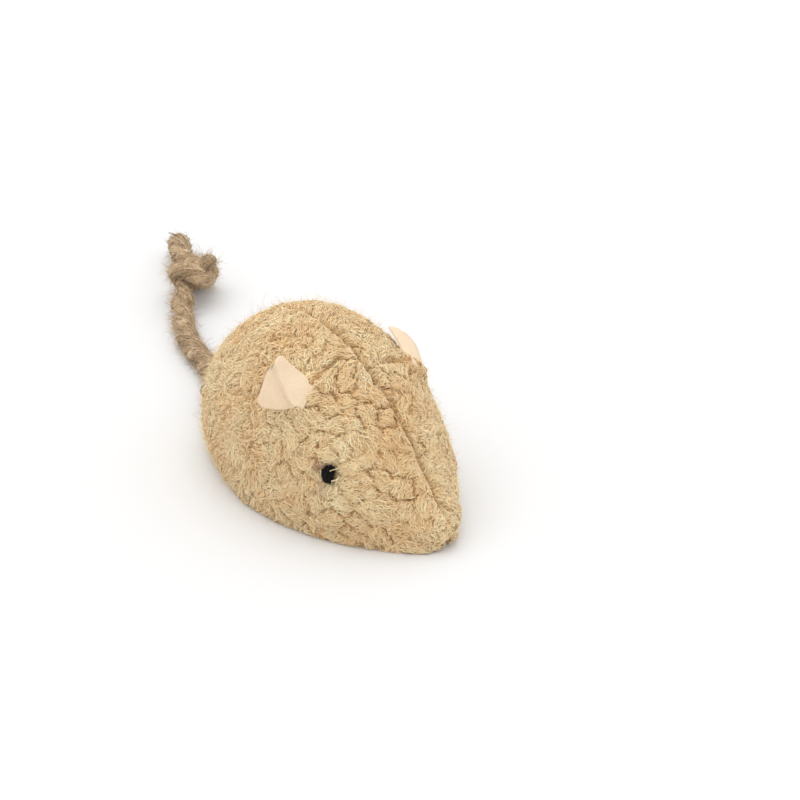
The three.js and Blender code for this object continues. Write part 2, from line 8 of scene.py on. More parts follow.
# %% Load the frame
import json

import bmesh
import bpy
import numpy as np
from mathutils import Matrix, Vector


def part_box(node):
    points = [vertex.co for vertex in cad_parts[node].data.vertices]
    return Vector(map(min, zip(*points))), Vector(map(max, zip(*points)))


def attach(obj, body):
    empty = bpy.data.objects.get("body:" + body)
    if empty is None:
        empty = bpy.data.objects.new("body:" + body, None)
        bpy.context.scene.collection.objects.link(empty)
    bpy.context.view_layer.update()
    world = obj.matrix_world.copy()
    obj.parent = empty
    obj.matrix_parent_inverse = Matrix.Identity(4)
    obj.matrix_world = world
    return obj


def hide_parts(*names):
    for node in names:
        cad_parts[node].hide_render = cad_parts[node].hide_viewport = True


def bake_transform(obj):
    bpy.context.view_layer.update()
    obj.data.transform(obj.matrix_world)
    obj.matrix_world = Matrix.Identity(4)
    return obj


MM = 0.001
CHANCE_SEED = 11

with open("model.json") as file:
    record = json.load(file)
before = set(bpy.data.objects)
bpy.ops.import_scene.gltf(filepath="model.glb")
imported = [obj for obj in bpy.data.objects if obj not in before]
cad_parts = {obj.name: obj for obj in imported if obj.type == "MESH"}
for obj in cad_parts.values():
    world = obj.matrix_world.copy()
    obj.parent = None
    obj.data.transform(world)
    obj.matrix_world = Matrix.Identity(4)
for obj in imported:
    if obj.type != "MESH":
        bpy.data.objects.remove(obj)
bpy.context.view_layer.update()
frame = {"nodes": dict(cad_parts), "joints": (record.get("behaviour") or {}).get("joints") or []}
joints = {joint["name"]: joint for joint in frame["joints"]}
rng = np.random.default_rng(CHANCE_SEED)

# %% [markdown]
# ## Camera
# A long lens from above the mouse's right cheek. The target is a point inside the body. Lens shift, and not
# a turn of the camera, puts that point off the picture's middle, so that the vertical lines of the body
# stay as they are.

# %% Camera
VIEW_AZIMUTH = np.radians(-43)
VIEW_ELEVATION = np.radians(31)
VIEW_TARGET = np.array([0, 0, 20])
VIEW_DISTANCE = 650
HALF_FIELD = 94.8
TARGET_PIXEL = np.array([329.7, 410.5])
PICTURE = 800

towards_camera = np.array([
    np.cos(VIEW_ELEVATION) * np.sin(VIEW_AZIMUTH),
    -np.cos(VIEW_ELEVATION) * np.cos(VIEW_AZIMUTH),
    np.sin(VIEW_ELEVATION),
])
scene = bpy.context.scene
scene.view_settings.view_transform = "Standard"
lens = bpy.data.cameras.new("camera")
camera = bpy.data.objects.new("camera", lens)
scene.collection.objects.link(camera)
camera.location = (VIEW_TARGET + VIEW_DISTANCE * towards_camera) * MM
camera.rotation_euler = Vector(-towards_camera).to_track_quat("-Z", "Y").to_euler()
lens.lens = lens.sensor_width / 2 * VIEW_DISTANCE / HALF_FIELD
lens.shift_x, lens.shift_y = (TARGET_PIXEL - PICTURE / 2) / PICTURE * [-1, 1]
lens.clip_start = 0.01
scene.camera = camera
print("camera: lens", round(lens.lens, 1), "mm")

# %% [markdown]
# ## Nodes
# Materials and light are small graphs of nodes. Each could be wired link by link, but most of that text
# would say the same thing, so two helpers take it up: one fills a node's inputs, and one adds a node with
# all of them.

# %% Nodes
def fill_inputs(tree, node, inputs):
    """Gives each input of a node what belongs there: a socket of another node is linked, a plain value is
    set."""
    for socket, value in inputs.items():
        if isinstance(value, bpy.types.NodeSocket):
            tree.links.new(value, node.inputs[socket])
        else:
            node.inputs[socket].default_value = value


def add_node(tree, kind, inputs, **settings):
    """A new node of a kind, with its settings and then its inputs."""
    node = tree.nodes.new(kind)
    for setting, value in settings.items():
        setattr(node, setting, value)
    fill_inputs(tree, node, inputs)
    return node


def new_material(name):
    """A material with nodes, and its tree."""
    material = bpy.data.materials.new(name)
    material.use_nodes = True
    return material, material.node_tree


print("nodes: helpers for materials and light")

# %% [markdown]
# ## Studio
# A white sweep under a large soft lamp. The world and the lamp together give a white floor about its own
# colour, so fabric renders as its colours are written. Rays that show the background see plain white.

# %% Studio
AMBIENT = 1.0
KEY_STRENGTH = 1.05
KEY_SPREAD = np.radians(70)
KEY_FROM = (-0.1, 0.15, 1)
FLOOR_SIZE = 6
FLOOR_COLOUR = (0.77, 0.77, 0.77, 1)
FLOOR_LIFT = 0.02
WHITE = (1, 1, 1, 1)


def background_level(tree, lighting, shown):
    """One value on the rays that light the object, and another on the rays that show the background:
    camera, mirror and glass rays."""
    path = add_node(tree, "ShaderNodeLightPath", {})
    ray = path.outputs["Is Camera Ray"]
    for kind in ("Is Glossy Ray", "Is Transmission Ray"):
        either = add_node(tree, "ShaderNodeMath", {0: ray, 1: path.outputs[kind]}, operation="MAXIMUM")
        ray = either.outputs[0]
    ramp = add_node(tree, "ShaderNodeMapRange", {"Value": ray, "To Min": lighting, "To Max": shown})
    return ramp.outputs["Result"]


world = bpy.data.worlds.new("studio")
world.use_nodes = True
scene.world = world
sky_strength = background_level(world.node_tree, AMBIENT, 1)
fill_inputs(world.node_tree, world.node_tree.nodes["Background"], {"Color": WHITE, "Strength": sky_strength})

key = bpy.data.lights.new("key", "SUN")
key.energy = KEY_STRENGTH
key.angle = KEY_SPREAD
key_lamp = bpy.data.objects.new("key", key)
key_lamp.rotation_euler = Vector(KEY_FROM).to_track_quat("Z", "Y").to_euler()
scene.collection.objects.link(key_lamp)

floor_mesh = bpy.data.meshes.new("floor")
floor_corners = FLOOR_SIZE / 2 * np.array([[-1, -1, 0], [1, -1, 0], [1, 1, 0], [-1, 1, 0]])
floor_mesh.from_pydata(floor_corners.tolist(), [], [(0, 1, 2, 3)])
floor = bpy.data.objects.new("floor", floor_mesh)
scene.collection.objects.link(floor)
paper, paper_tree = new_material("paper")
fill_inputs(paper_tree, paper_tree.nodes["Principled BSDF"], {
    "Base Color": FLOOR_COLOUR,
    "Roughness": 1,
    "Specular IOR Level": 0,
    "Emission Color": WHITE,
    "Emission Strength": background_level(paper_tree, 0, FLOOR_LIFT),
})
floor_mesh.materials.append(paper)
print("studio: ambient", AMBIENT, "and one soft lamp")

# %% [markdown]
# ## Meshes from arrays
# Everything below ends as points and faces in numpy arrays. One helper puts arrays into a mesh, one hangs
# the piece on the body it rides on and hides the parts of the frame it stands for, and the rest are small
# sums on lines and grids.

# %% Mesh helpers
BAKE_MAP = "OFBake"
NEXT_TO_NOTHING = 1e-9


def make_piece(name, points, quads, tris=(), uv=None, **values):
    """One mesh object: points in millimetres, faces by point numbers, a UV pair per face corner and named
    values per point."""
    tris = np.reshape(np.array(tris, int), (-1, 3))
    corners = np.concatenate([quads.ravel(), tris.ravel()])
    starts = np.concatenate([4 * np.arange(len(quads)), 4 * len(quads) + 3 * np.arange(len(tris))])
    mesh = bpy.data.meshes.new(name)
    mesh.vertices.add(len(points))
    mesh.loops.add(len(corners))
    mesh.polygons.add(len(starts))
    mesh.vertices.foreach_set("co", (points * MM).astype(np.float32).ravel())
    mesh.loops.foreach_set("vertex_index", corners.astype(np.int32))
    mesh.polygons.foreach_set("loop_start", starts.astype(np.int32))
    mesh.polygons.foreach_set("use_smooth", np.ones(len(starts), bool))
    mesh.update(calc_edges=True)
    for value_name, value in values.items():
        attribute = mesh.attributes.new(value_name, "FLOAT", "POINT")
        attribute.data.foreach_set("value", np.asarray(value, np.float32).ravel())
    if uv is not None:
        layer = mesh.uv_layers.new(name=BAKE_MAP)
        layer.data.foreach_set("uv", uv.astype(np.float32).ravel())
    return place_mesh(name, mesh)


def place_mesh(name, mesh):
    """An object at the origin that holds the mesh."""
    piece = bpy.data.objects.new(name, mesh)
    scene.collection.objects.link(piece)
    return piece


def dress(piece, material, nodes=(), body=None):
    """Gives the piece its finish, hides the CAD nodes it stands for and hangs it on the body it rides on."""
    piece.data.materials.append(material)
    if nodes:
        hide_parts(*nodes)
    if body:
        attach(piece, body)
    return piece


def grid_faces(rows, columns):
    """Four-sided faces of rings of points, numbered ring by ring, with each ring's last point next to its
    first."""
    row = np.arange(rows - 1)[:, None] * columns
    column = np.arange(columns)[None]
    after = (column + 1) % columns
    faces = np.stack([row + column, row + after, row + columns + after, row + columns + column], -1)
    return faces.reshape(-1, 4)


def unit(vectors):
    """The vectors at length one."""
    return vectors / np.maximum(np.linalg.norm(vectors, axis=-1, keepdims=True), NEXT_TO_NOTHING)


def distances(line):
    """Distance of each point from the start, along the line."""
    return np.concatenate([[0], np.cumsum(np.linalg.norm(np.diff(line, axis=0), axis=1))])


def line_length(line):
    """Length along the points of a line."""
    return np.linalg.norm(np.diff(line, axis=0), axis=1).sum()


def smooth_line(points, step):
    """A smooth line through the points, with a point about every step: cubic pieces whose slopes are the
    differences of the neighbouring points."""
    points = np.asarray(points, float)
    at = distances(points)
    slope = np.gradient(points, at, axis=0)
    fine = np.linspace(0, at[-1], int(at[-1] / step) + 2)
    left = np.clip(np.searchsorted(at, fine, "right") - 1, 0, len(at) - 2)
    right = left + 1
    span = (at[right] - at[left])[:, None]
    share = (fine - at[left])[:, None] / span
    rest = 1 - share
    between = points[left] * (1 + 2 * share) * rest**2 + points[right] * share**2 * (3 - 2 * share)
    return between + span * (slope[left] * share * rest**2 - slope[right] * share**2 * rest)


def carried_frame(line):
    """Unit side and up vectors along a line, carried from ring to ring with no twist of their own."""
    ahead = unit(np.gradient(line, axis=0))
    side = np.zeros_like(line)
    start = np.cross(ahead[0], [0, 0, 1])
    side[0] = unit(start if np.linalg.norm(start) > 0.1 else np.cross(ahead[0], [1, 0, 0]))
    for ring in range(1, len(line)):
        side[ring] = unit(side[ring - 1] - ahead[ring] * (side[ring - 1] @ ahead[ring]))
    return ahead, side, np.cross(side, ahead)


corner_line = smooth_line([[0, 0, 0], [10, 0, 0], [10, 10, 0]], 1)
print("helpers: a corner of 20 mm, smoothed, is", round(line_length(corner_line), 1), "mm long")

# %% [markdown]
# ## Finishes
# Cloth, rope and thread all show fine fibres over slow changes of tone. One node group gives both: two
# noises in Object coordinates, as a colour between a dark and a light tone and as a height for the bump. A
# value per point, called tone, moves the colour: it holds random tone and also painted shade and painted
# light, so that a crack is painted dark and a raised loop painted pale. Each finish then sets its own tones,
# scales and shader.

# %% Finishes
FIBRE_CONTRAST = 0.9
MIDDLE_TONE = 0.5
SHEEN_SPREAD = 0.6
SHINE = 0.15


def sockets(group, kind, **names):
    """Adds named sockets to a node group."""
    for socket, shape in names.items():
        group.interface.new_socket(name=socket, in_out=kind, socket_type="NodeSocket" + shape)


def fibre_group():
    """Noise in Object coordinates, fine in one scale and cloudy in another. Their sum, shifted by the tone,
    mixes the dark and the light colour, and the fine noise is the height."""
    group = bpy.data.node_groups.new("fibre tones", "ShaderNodeTree")
    sockets(group, "INPUT", Dark="Color", Light="Color", Fine="Float", Cloud="Float", Tone="Float")
    sockets(group, "OUTPUT", Color="Color", Height="Float")
    given = add_node(group, "NodeGroupInput", {}).outputs
    place = add_node(group, "ShaderNodeTexCoord", {}).outputs["Object"]
    noises = []
    for scale, detail in (("Fine", 3), ("Cloud", 2)):
        inputs = {"Vector": place, "Scale": given[scale], "Detail": detail}
        noises.append(add_node(group, "ShaderNodeTexNoise", inputs).outputs["Fac"])
    both = add_node(group, "ShaderNodeMath", dict(enumerate(noises)), operation="ADD").outputs[0]
    shift = add_node(group, "ShaderNodeMath", {0: given["Tone"], 1: FIBRE_CONTRAST}, operation="SUBTRACT")
    share = add_node(group, "ShaderNodeMath", {0: both, 1: FIBRE_CONTRAST, 2: shift.outputs[0]},
                     operation="MULTIPLY_ADD", use_clamp=True)
    mix = add_node(group, "ShaderNodeMix",
                   {"Factor": share.outputs[0], "A": given["Dark"], "B": given["Light"]}, data_type="RGBA")
    add_node(group, "NodeGroupOutput", {"Color": mix.outputs["Result"], "Height": noises[0]})
    return group


fibre_tones = fibre_group()


def tone(red, green, blue):
    """A colour given as screen values from 0 to 255, as the linear colour that shaders take."""
    screen = np.array([red, green, blue]) / 255
    linear = np.where(screen < 0.04045, screen / 12.92, ((screen + 0.055) / 1.055) ** 2.4)
    return (*linear, 1)


def point_value(tree, name):
    """The value per point of that name."""
    return add_node(tree, "ShaderNodeAttribute", {}, attribute_name=name).outputs["Fac"]


def fabric(name, dark, light, fine, cloud, rough=0.9, sheen=0.2, bump=0.0002, toned=False):
    """A cloth finish: fibre tones between two colours, with bump from the same fibres. A toned finish reads
    the value per point called tone, which moves its colour towards dark or light; besides random tone, that
    value holds painted shade and painted light."""
    material, tree = new_material(name)
    own_tone = point_value(tree, "tone") if toned else MIDDLE_TONE
    fibres = add_node(tree, "ShaderNodeGroup", {
        "Dark": dark, "Light": light, "Fine": fine, "Cloud": cloud, "Tone": own_tone,
    }, node_tree=fibre_tones)
    bumps = add_node(tree, "ShaderNodeBump", {"Distance": bump, "Height": fibres.outputs["Height"]})
    fill_inputs(tree, tree.nodes["Principled BSDF"], {
        "Base Color": fibres.outputs["Color"],
        "Roughness": rough,
        "Sheen Weight": sheen,
        "Sheen Roughness": SHEEN_SPREAD,
        "Specular IOR Level": SHINE,
        "Normal": bumps.outputs["Normal"],
    })
    return material


def stained(material, colour):
    """Mixes in a stain's colour by the value per point called stain, as next to the eyes."""
    tree = material.node_tree
    base = tree.nodes["Principled BSDF"].inputs["Base Color"]
    inputs = {"Factor": point_value(tree, "stain"), "A": base.links[0].from_socket, "B": colour}
    mix = add_node(tree, "ShaderNodeMix", inputs, data_type="RGBA")
    tree.links.new(mix.outputs["Result"], base)


JUTE = fabric("jute", tone(143, 110, 76), tone(247, 219, 178), 2600, 160, bump=0.0004, toned=True)
CURL = fabric("fleece curls", tone(232, 179, 113), tone(255, 241, 199), 1500, 90, sheen=0.25, toned=True)
stained(CURL, tone(138, 68, 26))
BACKING = fabric("fleece backing", tone(168, 128, 76), tone(238, 206, 154), 1800, 90, toned=True)
FELT = fabric("ear felt", tone(220, 190, 156), tone(240, 218, 188), 2400, 180, bump=0.0001, toned=True)
BLACK_THREAD = fabric("black thread", tone(4, 4, 4), tone(30, 27, 27), 3000, 300, rough=0.6, sheen=0)
TAN_THREAD = fabric("tan thread", tone(150, 112, 66), tone(214, 180, 130), 3000, 300, rough=0.7)
BROWN_THREAD = fabric("brown thread", tone(92, 60, 34), tone(160, 112, 70), 3000, 300, rough=0.7)
FILL = fabric("fibre fill", tone(222, 220, 214), tone(252, 251, 248), 1600, 150, bump=0.001)
HERB = fabric("dried herb", tone(70, 78, 40), tone(152, 156, 98), 1400, 200, bump=0.0006)
print("finishes:", len(bpy.data.materials))

# %% [markdown]
# ## Tail rope
# The tail is two plies of jute twisted together, a little thinner than a pencil. A profile with two lobes
# is carried along the rope's line and turned once per lay length, so the grooves between the plies are
# real. The line starts inside the body and follows the frame's own route over the floor, with its points
# eased, since rope has no kinks. Root and free cord could be two surfaces, but then they would part at the
# bend, so it is one surface that is cut at the tail's pivot.

# %% Tail rope
ROPE = 5.6
LAY = 17
PLY_RADIUS = 0.31 * ROPE
PLY_OFFSET = 0.19 * ROPE
ROPE_RING_STEP = 0.4
ROPE_SIDES = 40
ROPE_EASING = 24
YARN_RELIEF = 0.022
YARN_WAVES = ((1, 14, 3.4, 0), (0.6, 9, -2.1, 1.3))
UNEVEN_WAVES = ((0.05, 0, 0.9, 2), (0.035, 1, 2.3, 0))
CUT_TONE = 0.4
# Painted shade and light on the rope: its tone is lowest in the groove between the plies and rises on the ply
# crests and raised yarns.
GROOVE_PAINTED_SHADE = 0.25
PLY_PAINTED_LIGHT = 0.3
YARN_PAINTED_LIGHT = 0.1
ROOT_START = 27.6
FLOOR_GAP = 0.05
PIVOT = np.array(joints["tail_swing"]["pos_m"]) / MM
ROPE_ROUTE = [
    [2.3, 2.1, 5.9], [5.2, 4.6, 5], [8.6, 8.6, 3.8], [11.2, 13.2, 3], [13, 18.5, 2.9], [14.8, 24, 2.9],
    [17.9, 30.4, 2.9], [22.3, 37, 2.9], [26.4, 42.6, 3.3], [29, 45.1, 4.7], [31.6, 47.1, 5.7],
]
KNOT_CENTRE = [37.3, 51, 6.9]
END_ROUTE = [[39.8, 56.8, 6.8], [41.4, 60.2, 6.6], [43.7, 63.6, 6.2], [47.6, 68.3, 5], [51.5, 73.2, 3.6]]


def on_tail(offsets):
    """Tail points from sideways and backward offsets and heights."""
    return np.asarray(offsets, float) + [PIVOT[0], PIVOT[1], 0]


def ripple(kinds, around, along):
    """A sum of sines; each kind has a size, a count round the rope, a pace along it and a phase."""
    return sum(size * np.sin(count * around + pace * along + phase) for size, count, pace, phase in kinds)


def rope_place(line, along, around, diameter, turn=0, spread=1):
    """Places on a two-ply rope: at an angle, the outline's radius is the farther edge of two circles set
    off to either side of the middle, and the angle turns with the distance along."""
    at = distances(line)
    _, side, up = carried_frame(line)
    middle, side, up = (np.stack([np.interp(along, at, field[:, axis]) for axis in range(3)], -1)
                        for field in (line, side, up))
    radius = PLY_OFFSET * np.abs(np.cos(around)) + np.sqrt(PLY_RADIUS**2 - (PLY_OFFSET * np.sin(around)) ** 2)
    angle = around + 2 * np.pi * along / LAY + turn
    outward = np.cos(angle)[..., None] * side + np.sin(angle)[..., None] * up
    return middle, outward, radius * spread * diameter / ROPE


def rope_surface(line, diameter, turn=0, spread=1):
    """Rings of a rope with a fine ripple for its yarns, and a tone with painted shade in the groove between
    plies and painted light on the ply crests and raised yarns. Spread thins or swells each ring."""
    around = np.linspace(0, 2 * np.pi, ROPE_SIDES, endpoint=False)[None]
    along, around = np.broadcast_arrays(distances(line)[:, None], around)
    spread = np.broadcast_to(spread, len(line))[:, None]
    middle, outward, radius = rope_place(line, along, around, diameter, turn, spread)
    yarn = ripple(YARN_WAVES, around, along)
    swell = 1 + YARN_RELIEF * yarn + ripple(UNEVEN_WAVES, around, along)
    points = middle + outward * (radius * swell)[..., None]
    points[..., 2] = np.maximum(points[..., 2], FLOOR_GAP)
    return points, GROOVE_PAINTED_SHADE + PLY_PAINTED_LIGHT * np.abs(np.cos(around)) + YARN_PAINTED_LIGHT * yarn


def closed_tube(points, values):
    """A grid of rings with a middle point on each end, as points, faces and a value per point."""
    rings, sides = points.shape[:2]
    count = rings * sides
    flat = np.concatenate([points.reshape(-1, 3), points[[0, -1]].mean(1)])
    first = np.arange(sides)
    after = (first + 1) % sides
    last = count - sides
    caps = np.concatenate([np.stack([after, first, np.full(sides, count)], 1),
                           np.stack([last + first, last + after, np.full(sides, count + 1)], 1)])
    return flat, grid_faces(rings, sides), caps, np.append(values.ravel(), [CUT_TONE, CUT_TONE])


def tube_piece(name, rings, values, turned=True):
    """Rings of points as one closed mesh; rings that run the other way round aren't turned."""
    points, quads, tris, value = closed_tube(rings, values)
    order = -1 if turned else 1
    return make_piece(name, points, quads[:, ::order], tris[:, ::order], tone=value)


inside_body = [[0, ROOT_START, PIVOT[2]], [0, (ROOT_START + PIVOT[1]) / 2, PIVOT[2]], PIVOT]
whole_line = smooth_line(np.concatenate([inside_body, on_tail(ROPE_ROUTE)]), ROPE_RING_STEP)
for _ in range(ROPE_EASING):
    whole_line[1:-1] = (whole_line[:-2] + 2 * whole_line[1:-1] + whole_line[2:]) / 4
pivot_ring = np.linalg.norm(whole_line - PIVOT, axis=1).argmin()
root_line, cord_line = whole_line[:pivot_ring + 1], whole_line[pivot_ring:]
whole_rings, whole_tone = rope_surface(whole_line, ROPE)
root = tube_piece("tail_root_rope", whole_rings[:pivot_ring + 1], whole_tone[:pivot_ring + 1])
cord = tube_piece("tail_cord", whole_rings[pivot_ring:], whole_tone[pivot_ring:])
dress(root, JUTE, ["tail_root", "tail_bend"])
dress(cord, JUTE, ["tail_rope"])
print("tail: free rope", round(line_length(cord_line), 1), "mm")

# %% [markdown]
# ## Tail knot
# A single overhand knot near the tail's end keeps the rope from untwisting. It could be drawn by hand, but
# a real knot is found by pulling: a loose trefoil line is shortened a little at a time, smoothed, and
# pushed apart wherever two stretches come closer than the rope is thick. What is left is a tight knot that
# nobody had to draw. It is then laid between rope and end, rolled about the line of sight and let sag.

# %% Tail knot
KNOT_ROPE = 4.7
KNOT_LENGTH = 47.5
KNOT_TURN = 1
KNOT_POINTS = 96
KNOT_ROUNDS = 900
TREFOIL_REACH = 2.25
LOOSE = 2.6
DRAWN_BY = 0.7
SPACING_ROUNDS = 6
SPACING_MEND = 0.45
EASE = 0.25
PUSH = 0.25
NEIGHBOURS = 1.6
KNOT_RISE = np.array([0, 0, 0.4])
KNOT_SAG = np.array([0, -2.5, -1.4])
KNOT_ROLL = np.radians(-24)
KNOT_FREEDOM = 0.6


def loose_knot(length):
    """An open trefoil: three polynomials of one parameter, scaled to the length."""
    t = np.linspace(-TREFOIL_REACH, TREFOIL_REACH, KNOT_POINTS)
    line = np.stack([t**3 - 3 * t, 0.55 * (t**4 - 4 * t**2), 0.16 * (t**5 - 10 * t)], 1)
    return line * length / line_length(line)


def pull_knot(half, rope, length):
    """The loose knot drawn tight between two points at half on either side. Each round shortens the
    spacing, moves each point towards the middle of its neighbours and pushes apart stretches closer than
    the rope."""
    line = loose_knot(LOOSE * length)
    loose_ends = line[[0, -1]].copy()
    tight_ends = np.array([[-half, 0, 0], [half, 0, 0]])
    number = np.arange(KNOT_POINTS)
    apart = np.abs(number[:, None] - number[None])
    for turn in range(KNOT_ROUNDS):
        pulled = min(1, turn / (DRAWN_BY * KNOT_ROUNDS))
        spacing = length * (LOOSE + (1 - LOOSE) * pulled) / (KNOT_POINTS - 1)
        ends = loose_ends + (tight_ends - loose_ends) * pulled
        for _ in range(SPACING_ROUNDS):
            gap = np.diff(line, axis=0)
            mend = SPACING_MEND * gap * (1 - spacing / np.linalg.norm(gap, axis=1, keepdims=True))
            line[:-1] += mend
            line[1:] -= mend
            line[[0, -1]] = ends
        line[1:-1] += EASE * ((line[:-2] + line[2:]) / 2 - line[1:-1])
        between = line[:, None] - line[None]
        distance = np.linalg.norm(between, axis=2) + NEXT_TO_NOTHING
        close = (apart * spacing > NEIGHBOURS * rope) & (distance < rope)
        line += 0.5 * (np.where(close, PUSH * (rope / distance - 1), 0)[..., None] * between).sum(1)
        line[[0, -1]] = ends
    return line


def laid_knot():
    """The pulled knot in its place: its ends where the rope stops and the end starts, and its bulk turned
    towards the knot's place in the frame. Its middle then rolls and sags, and its lowest stretch stays on
    the floor."""
    start, end = on_tail([ROPE_ROUTE[-1], END_ROUTE[0]])
    middle = (start + end) / 2
    axis = unit(end - start)
    local = smooth_line(pull_knot(np.linalg.norm(end - start) / 2, KNOT_ROPE, KNOT_LENGTH), ROPE_RING_STEP)
    bulk = unit(local.mean(0) * [0, 1, 1])
    wanted = unit((on_tail(KNOT_CENTRE) - middle) + KNOT_RISE)
    wanted = unit(wanted - axis * (wanted @ axis))
    local_axes = np.stack([[1, 0, 0], bulk, np.cross([1, 0, 0], bulk)])
    tail_axes = np.stack([axis, wanted, np.cross(axis, wanted)])
    line = local @ local_axes.T @ tail_axes + middle
    free_share = np.sin(np.pi * np.linspace(0, 1, len(line)))[:, None] ** KNOT_FREEDOM
    roll = KNOT_ROLL * free_share
    offset = line - line.mean(0)
    across = offset - (offset @ towards_camera)[:, None] * towards_camera
    line += across * (np.cos(roll) - 1) + np.cross(towards_camera, across) * np.sin(roll)
    line += free_share * KNOT_SAG
    line[:, 2] += max(0, KNOT_ROPE / 2 - line[:, 2].min())
    return line


knot_line = laid_knot()
knot = tube_piece("tail_knot_rope", *rope_surface(knot_line, KNOT_ROPE, KNOT_TURN))
dress(knot, JUTE, ["tail_knot"], "tail")
print("knot:", round(line_length(knot_line), 1), "mm of rope, lowest", round(knot_line[:, 2].min(), 1))

# %% [markdown]
# ## Strands
# Pile, fuzz, rope fray and thread are all thin curved strands. A strand is a tube of three sides: at this
# size nobody sees the corners, and tens of thousands fit in one scene. All strands of a piece are one array
# of paths, so one call sweeps them all. Each strand has a cell of its own in the UV map, which a baked
# texture can use.

# %% Strands
CELL_EDGE = 0.08
HAIR_TAPER = 0.6


def strand_points(paths, radius, facing, sides, flatness):
    """Tubes along many paths at once. At each path point the ring is the point plus radius times a circle
    in the plane of two directions: across the path and the facing vector, and across both. Flatness below 1
    presses the circle to an oval that lies across the facing vector."""
    ahead = unit(np.gradient(paths, axis=1))
    side = unit(np.cross(ahead, facing[:, None]))
    up = np.cross(side, ahead) * flatness
    turn = 2 * np.pi * np.arange(sides) / sides
    ring = np.cos(turn)[:, None] * side[:, :, None] + np.sin(turn)[:, None] * up[:, :, None]
    return (paths[:, :, None] + radius[..., None, None] * ring).reshape(-1, 3)


def strand_faces(count, steps, sides):
    """Four-sided faces along each strand and three-sided ones on its ends, all turned outwards."""
    quads = grid_faces(steps, sides)[:, ::-1]
    corner = np.arange(1, sides - 1)
    fan = np.stack([np.zeros_like(corner), corner, corner + 1], 1)
    tris = np.concatenate([fan[:, ::-1], fan + (steps - 1) * sides])
    first = np.arange(count)[:, None, None] * steps * sides
    return (quads + first).reshape(-1, 4), (tris + first).reshape(-1, 3)


def strand_cells(count, steps, sides):
    """UV pairs: strand number n has the cell n of a square board, with its length across and its girth
    up."""
    board = int(np.ceil(np.sqrt(count)))
    row = np.repeat(np.arange(steps - 1), sides)
    around = np.tile(np.arange(sides), steps - 1)
    corner = np.stack([np.stack([row + 1, around], 1), np.stack([row + 1, around + 1], 1),
                       np.stack([row, around + 1], 1), np.stack([row, around], 1)], 1)
    inside = CELL_EDGE + (1 - 2 * CELL_EDGE) * corner / [steps - 1, sides]
    cap = np.full((2 * (sides - 2), 3, 2), CELL_EDGE)
    cap[sides - 2:, :, 0] = 1 - CELL_EDGE
    cell = np.stack([np.arange(count) % board, np.arange(count) // board], 1)[:, None, None]
    return np.concatenate([((part + cell) / board).reshape(-1, 2) for part in (inside, cap)])


def strand_piece(name, paths, radius, facing, sides=3, flatness=1, **values):
    """One piece of many strands; each value is given per path point and spread round the ring."""
    count, steps = paths.shape[:2]
    points = strand_points(paths, np.broadcast_to(radius, (count, steps)), facing, sides, flatness)
    spread = {value_name: np.repeat(np.broadcast_to(value, (count, steps)).ravel(), sides)
              for value_name, value in values.items()}
    faces = strand_faces(count, steps, sides)
    return make_piece(name, points, *faces, strand_cells(count, steps, sides), **spread)


def hairs(roots, ways, length, steps, bend, fine):
    """Bent hairs: each starts at a root and goes its way, and bends aside with the square of the
    distance."""
    along = np.linspace(0, 1, steps)[None, :, None]
    aside = unit(np.cross(ways, rng.normal(size=ways.shape)))
    reach = length[:, None, None] * along
    paths = roots[:, None] + reach * (ways[:, None] + bend[:, None, None] * along * aside[:, None])
    return paths, fine[:, None] * (1 - HAIR_TAPER * along[..., 0])


def any_way(count):
    """Random directions."""
    return unit(rng.normal(size=(count, 3)))


print("strands: one of five steps has", sum(map(len, strand_faces(1, 5, 3))), "faces")

# %% [markdown]
# ## Frayed end and rope fuzz
# Past the knot the rope's core tapers, and the plies open into a blunt brush of strands of uneven length.
# Yarns lie along the plies all over the rope, and jute sheds short stiff hairs. The brush starts inside the
# rope's own outline, so it looks grown from it and not stuck on.

# %% Frayed end and fuzz
END_TURN = 2
END_DROP = 1.2
CORE_SPREAD = (0.9, 0.4)
END_ROPE = CORE_SPREAD[0] * ROPE
FRAY_STRANDS = 1000
FRAY_STEPS = 9
FRAY_STARTS = 0.05
FRAY_OPENS = 0.3
FRAY_CORE = 0.52
FRAY_END = 0.92
FRAY_SPREAD = (2.0, 2.45, 2.6)
FRAY_CURL = 0.55
FRAY_SHORT = 4.5
FRAY_RADIUS = 0.16
FRAY_TONES = (0.15, 0.9)
YARNS_PER_MM = 16
YARN_STEPS = 8
YARN_LENGTH = (5, 13)
YARN_RADIUS = 0.12
YARN_DRIFT = 0.7
YARN_LIFT = 0.1
YARN_OUTSIDE = 1.01
YARN_TONES = (0.1, 0.9)
BEND_LENGTH = 8
FUZZ_PER_MM = 48
FUZZ_LENGTH = (0.8, 3.0)
FUZZ_RADIUS = 0.05
FUZZ_STEPS = 5
FUZZ_TONES = (0.4, 0.9)
FUZZ_ROOT = 0.4
FUZZ_SHORTEST = 0.3
FUZZ_OUT = 0.8
FUZZ_ALONG = 0.8
FUZZ_ASTRAY = 0.3
KNOT_FUZZ_ROPE = 0.85 * ROPE
HAIR_BEND = 0.9


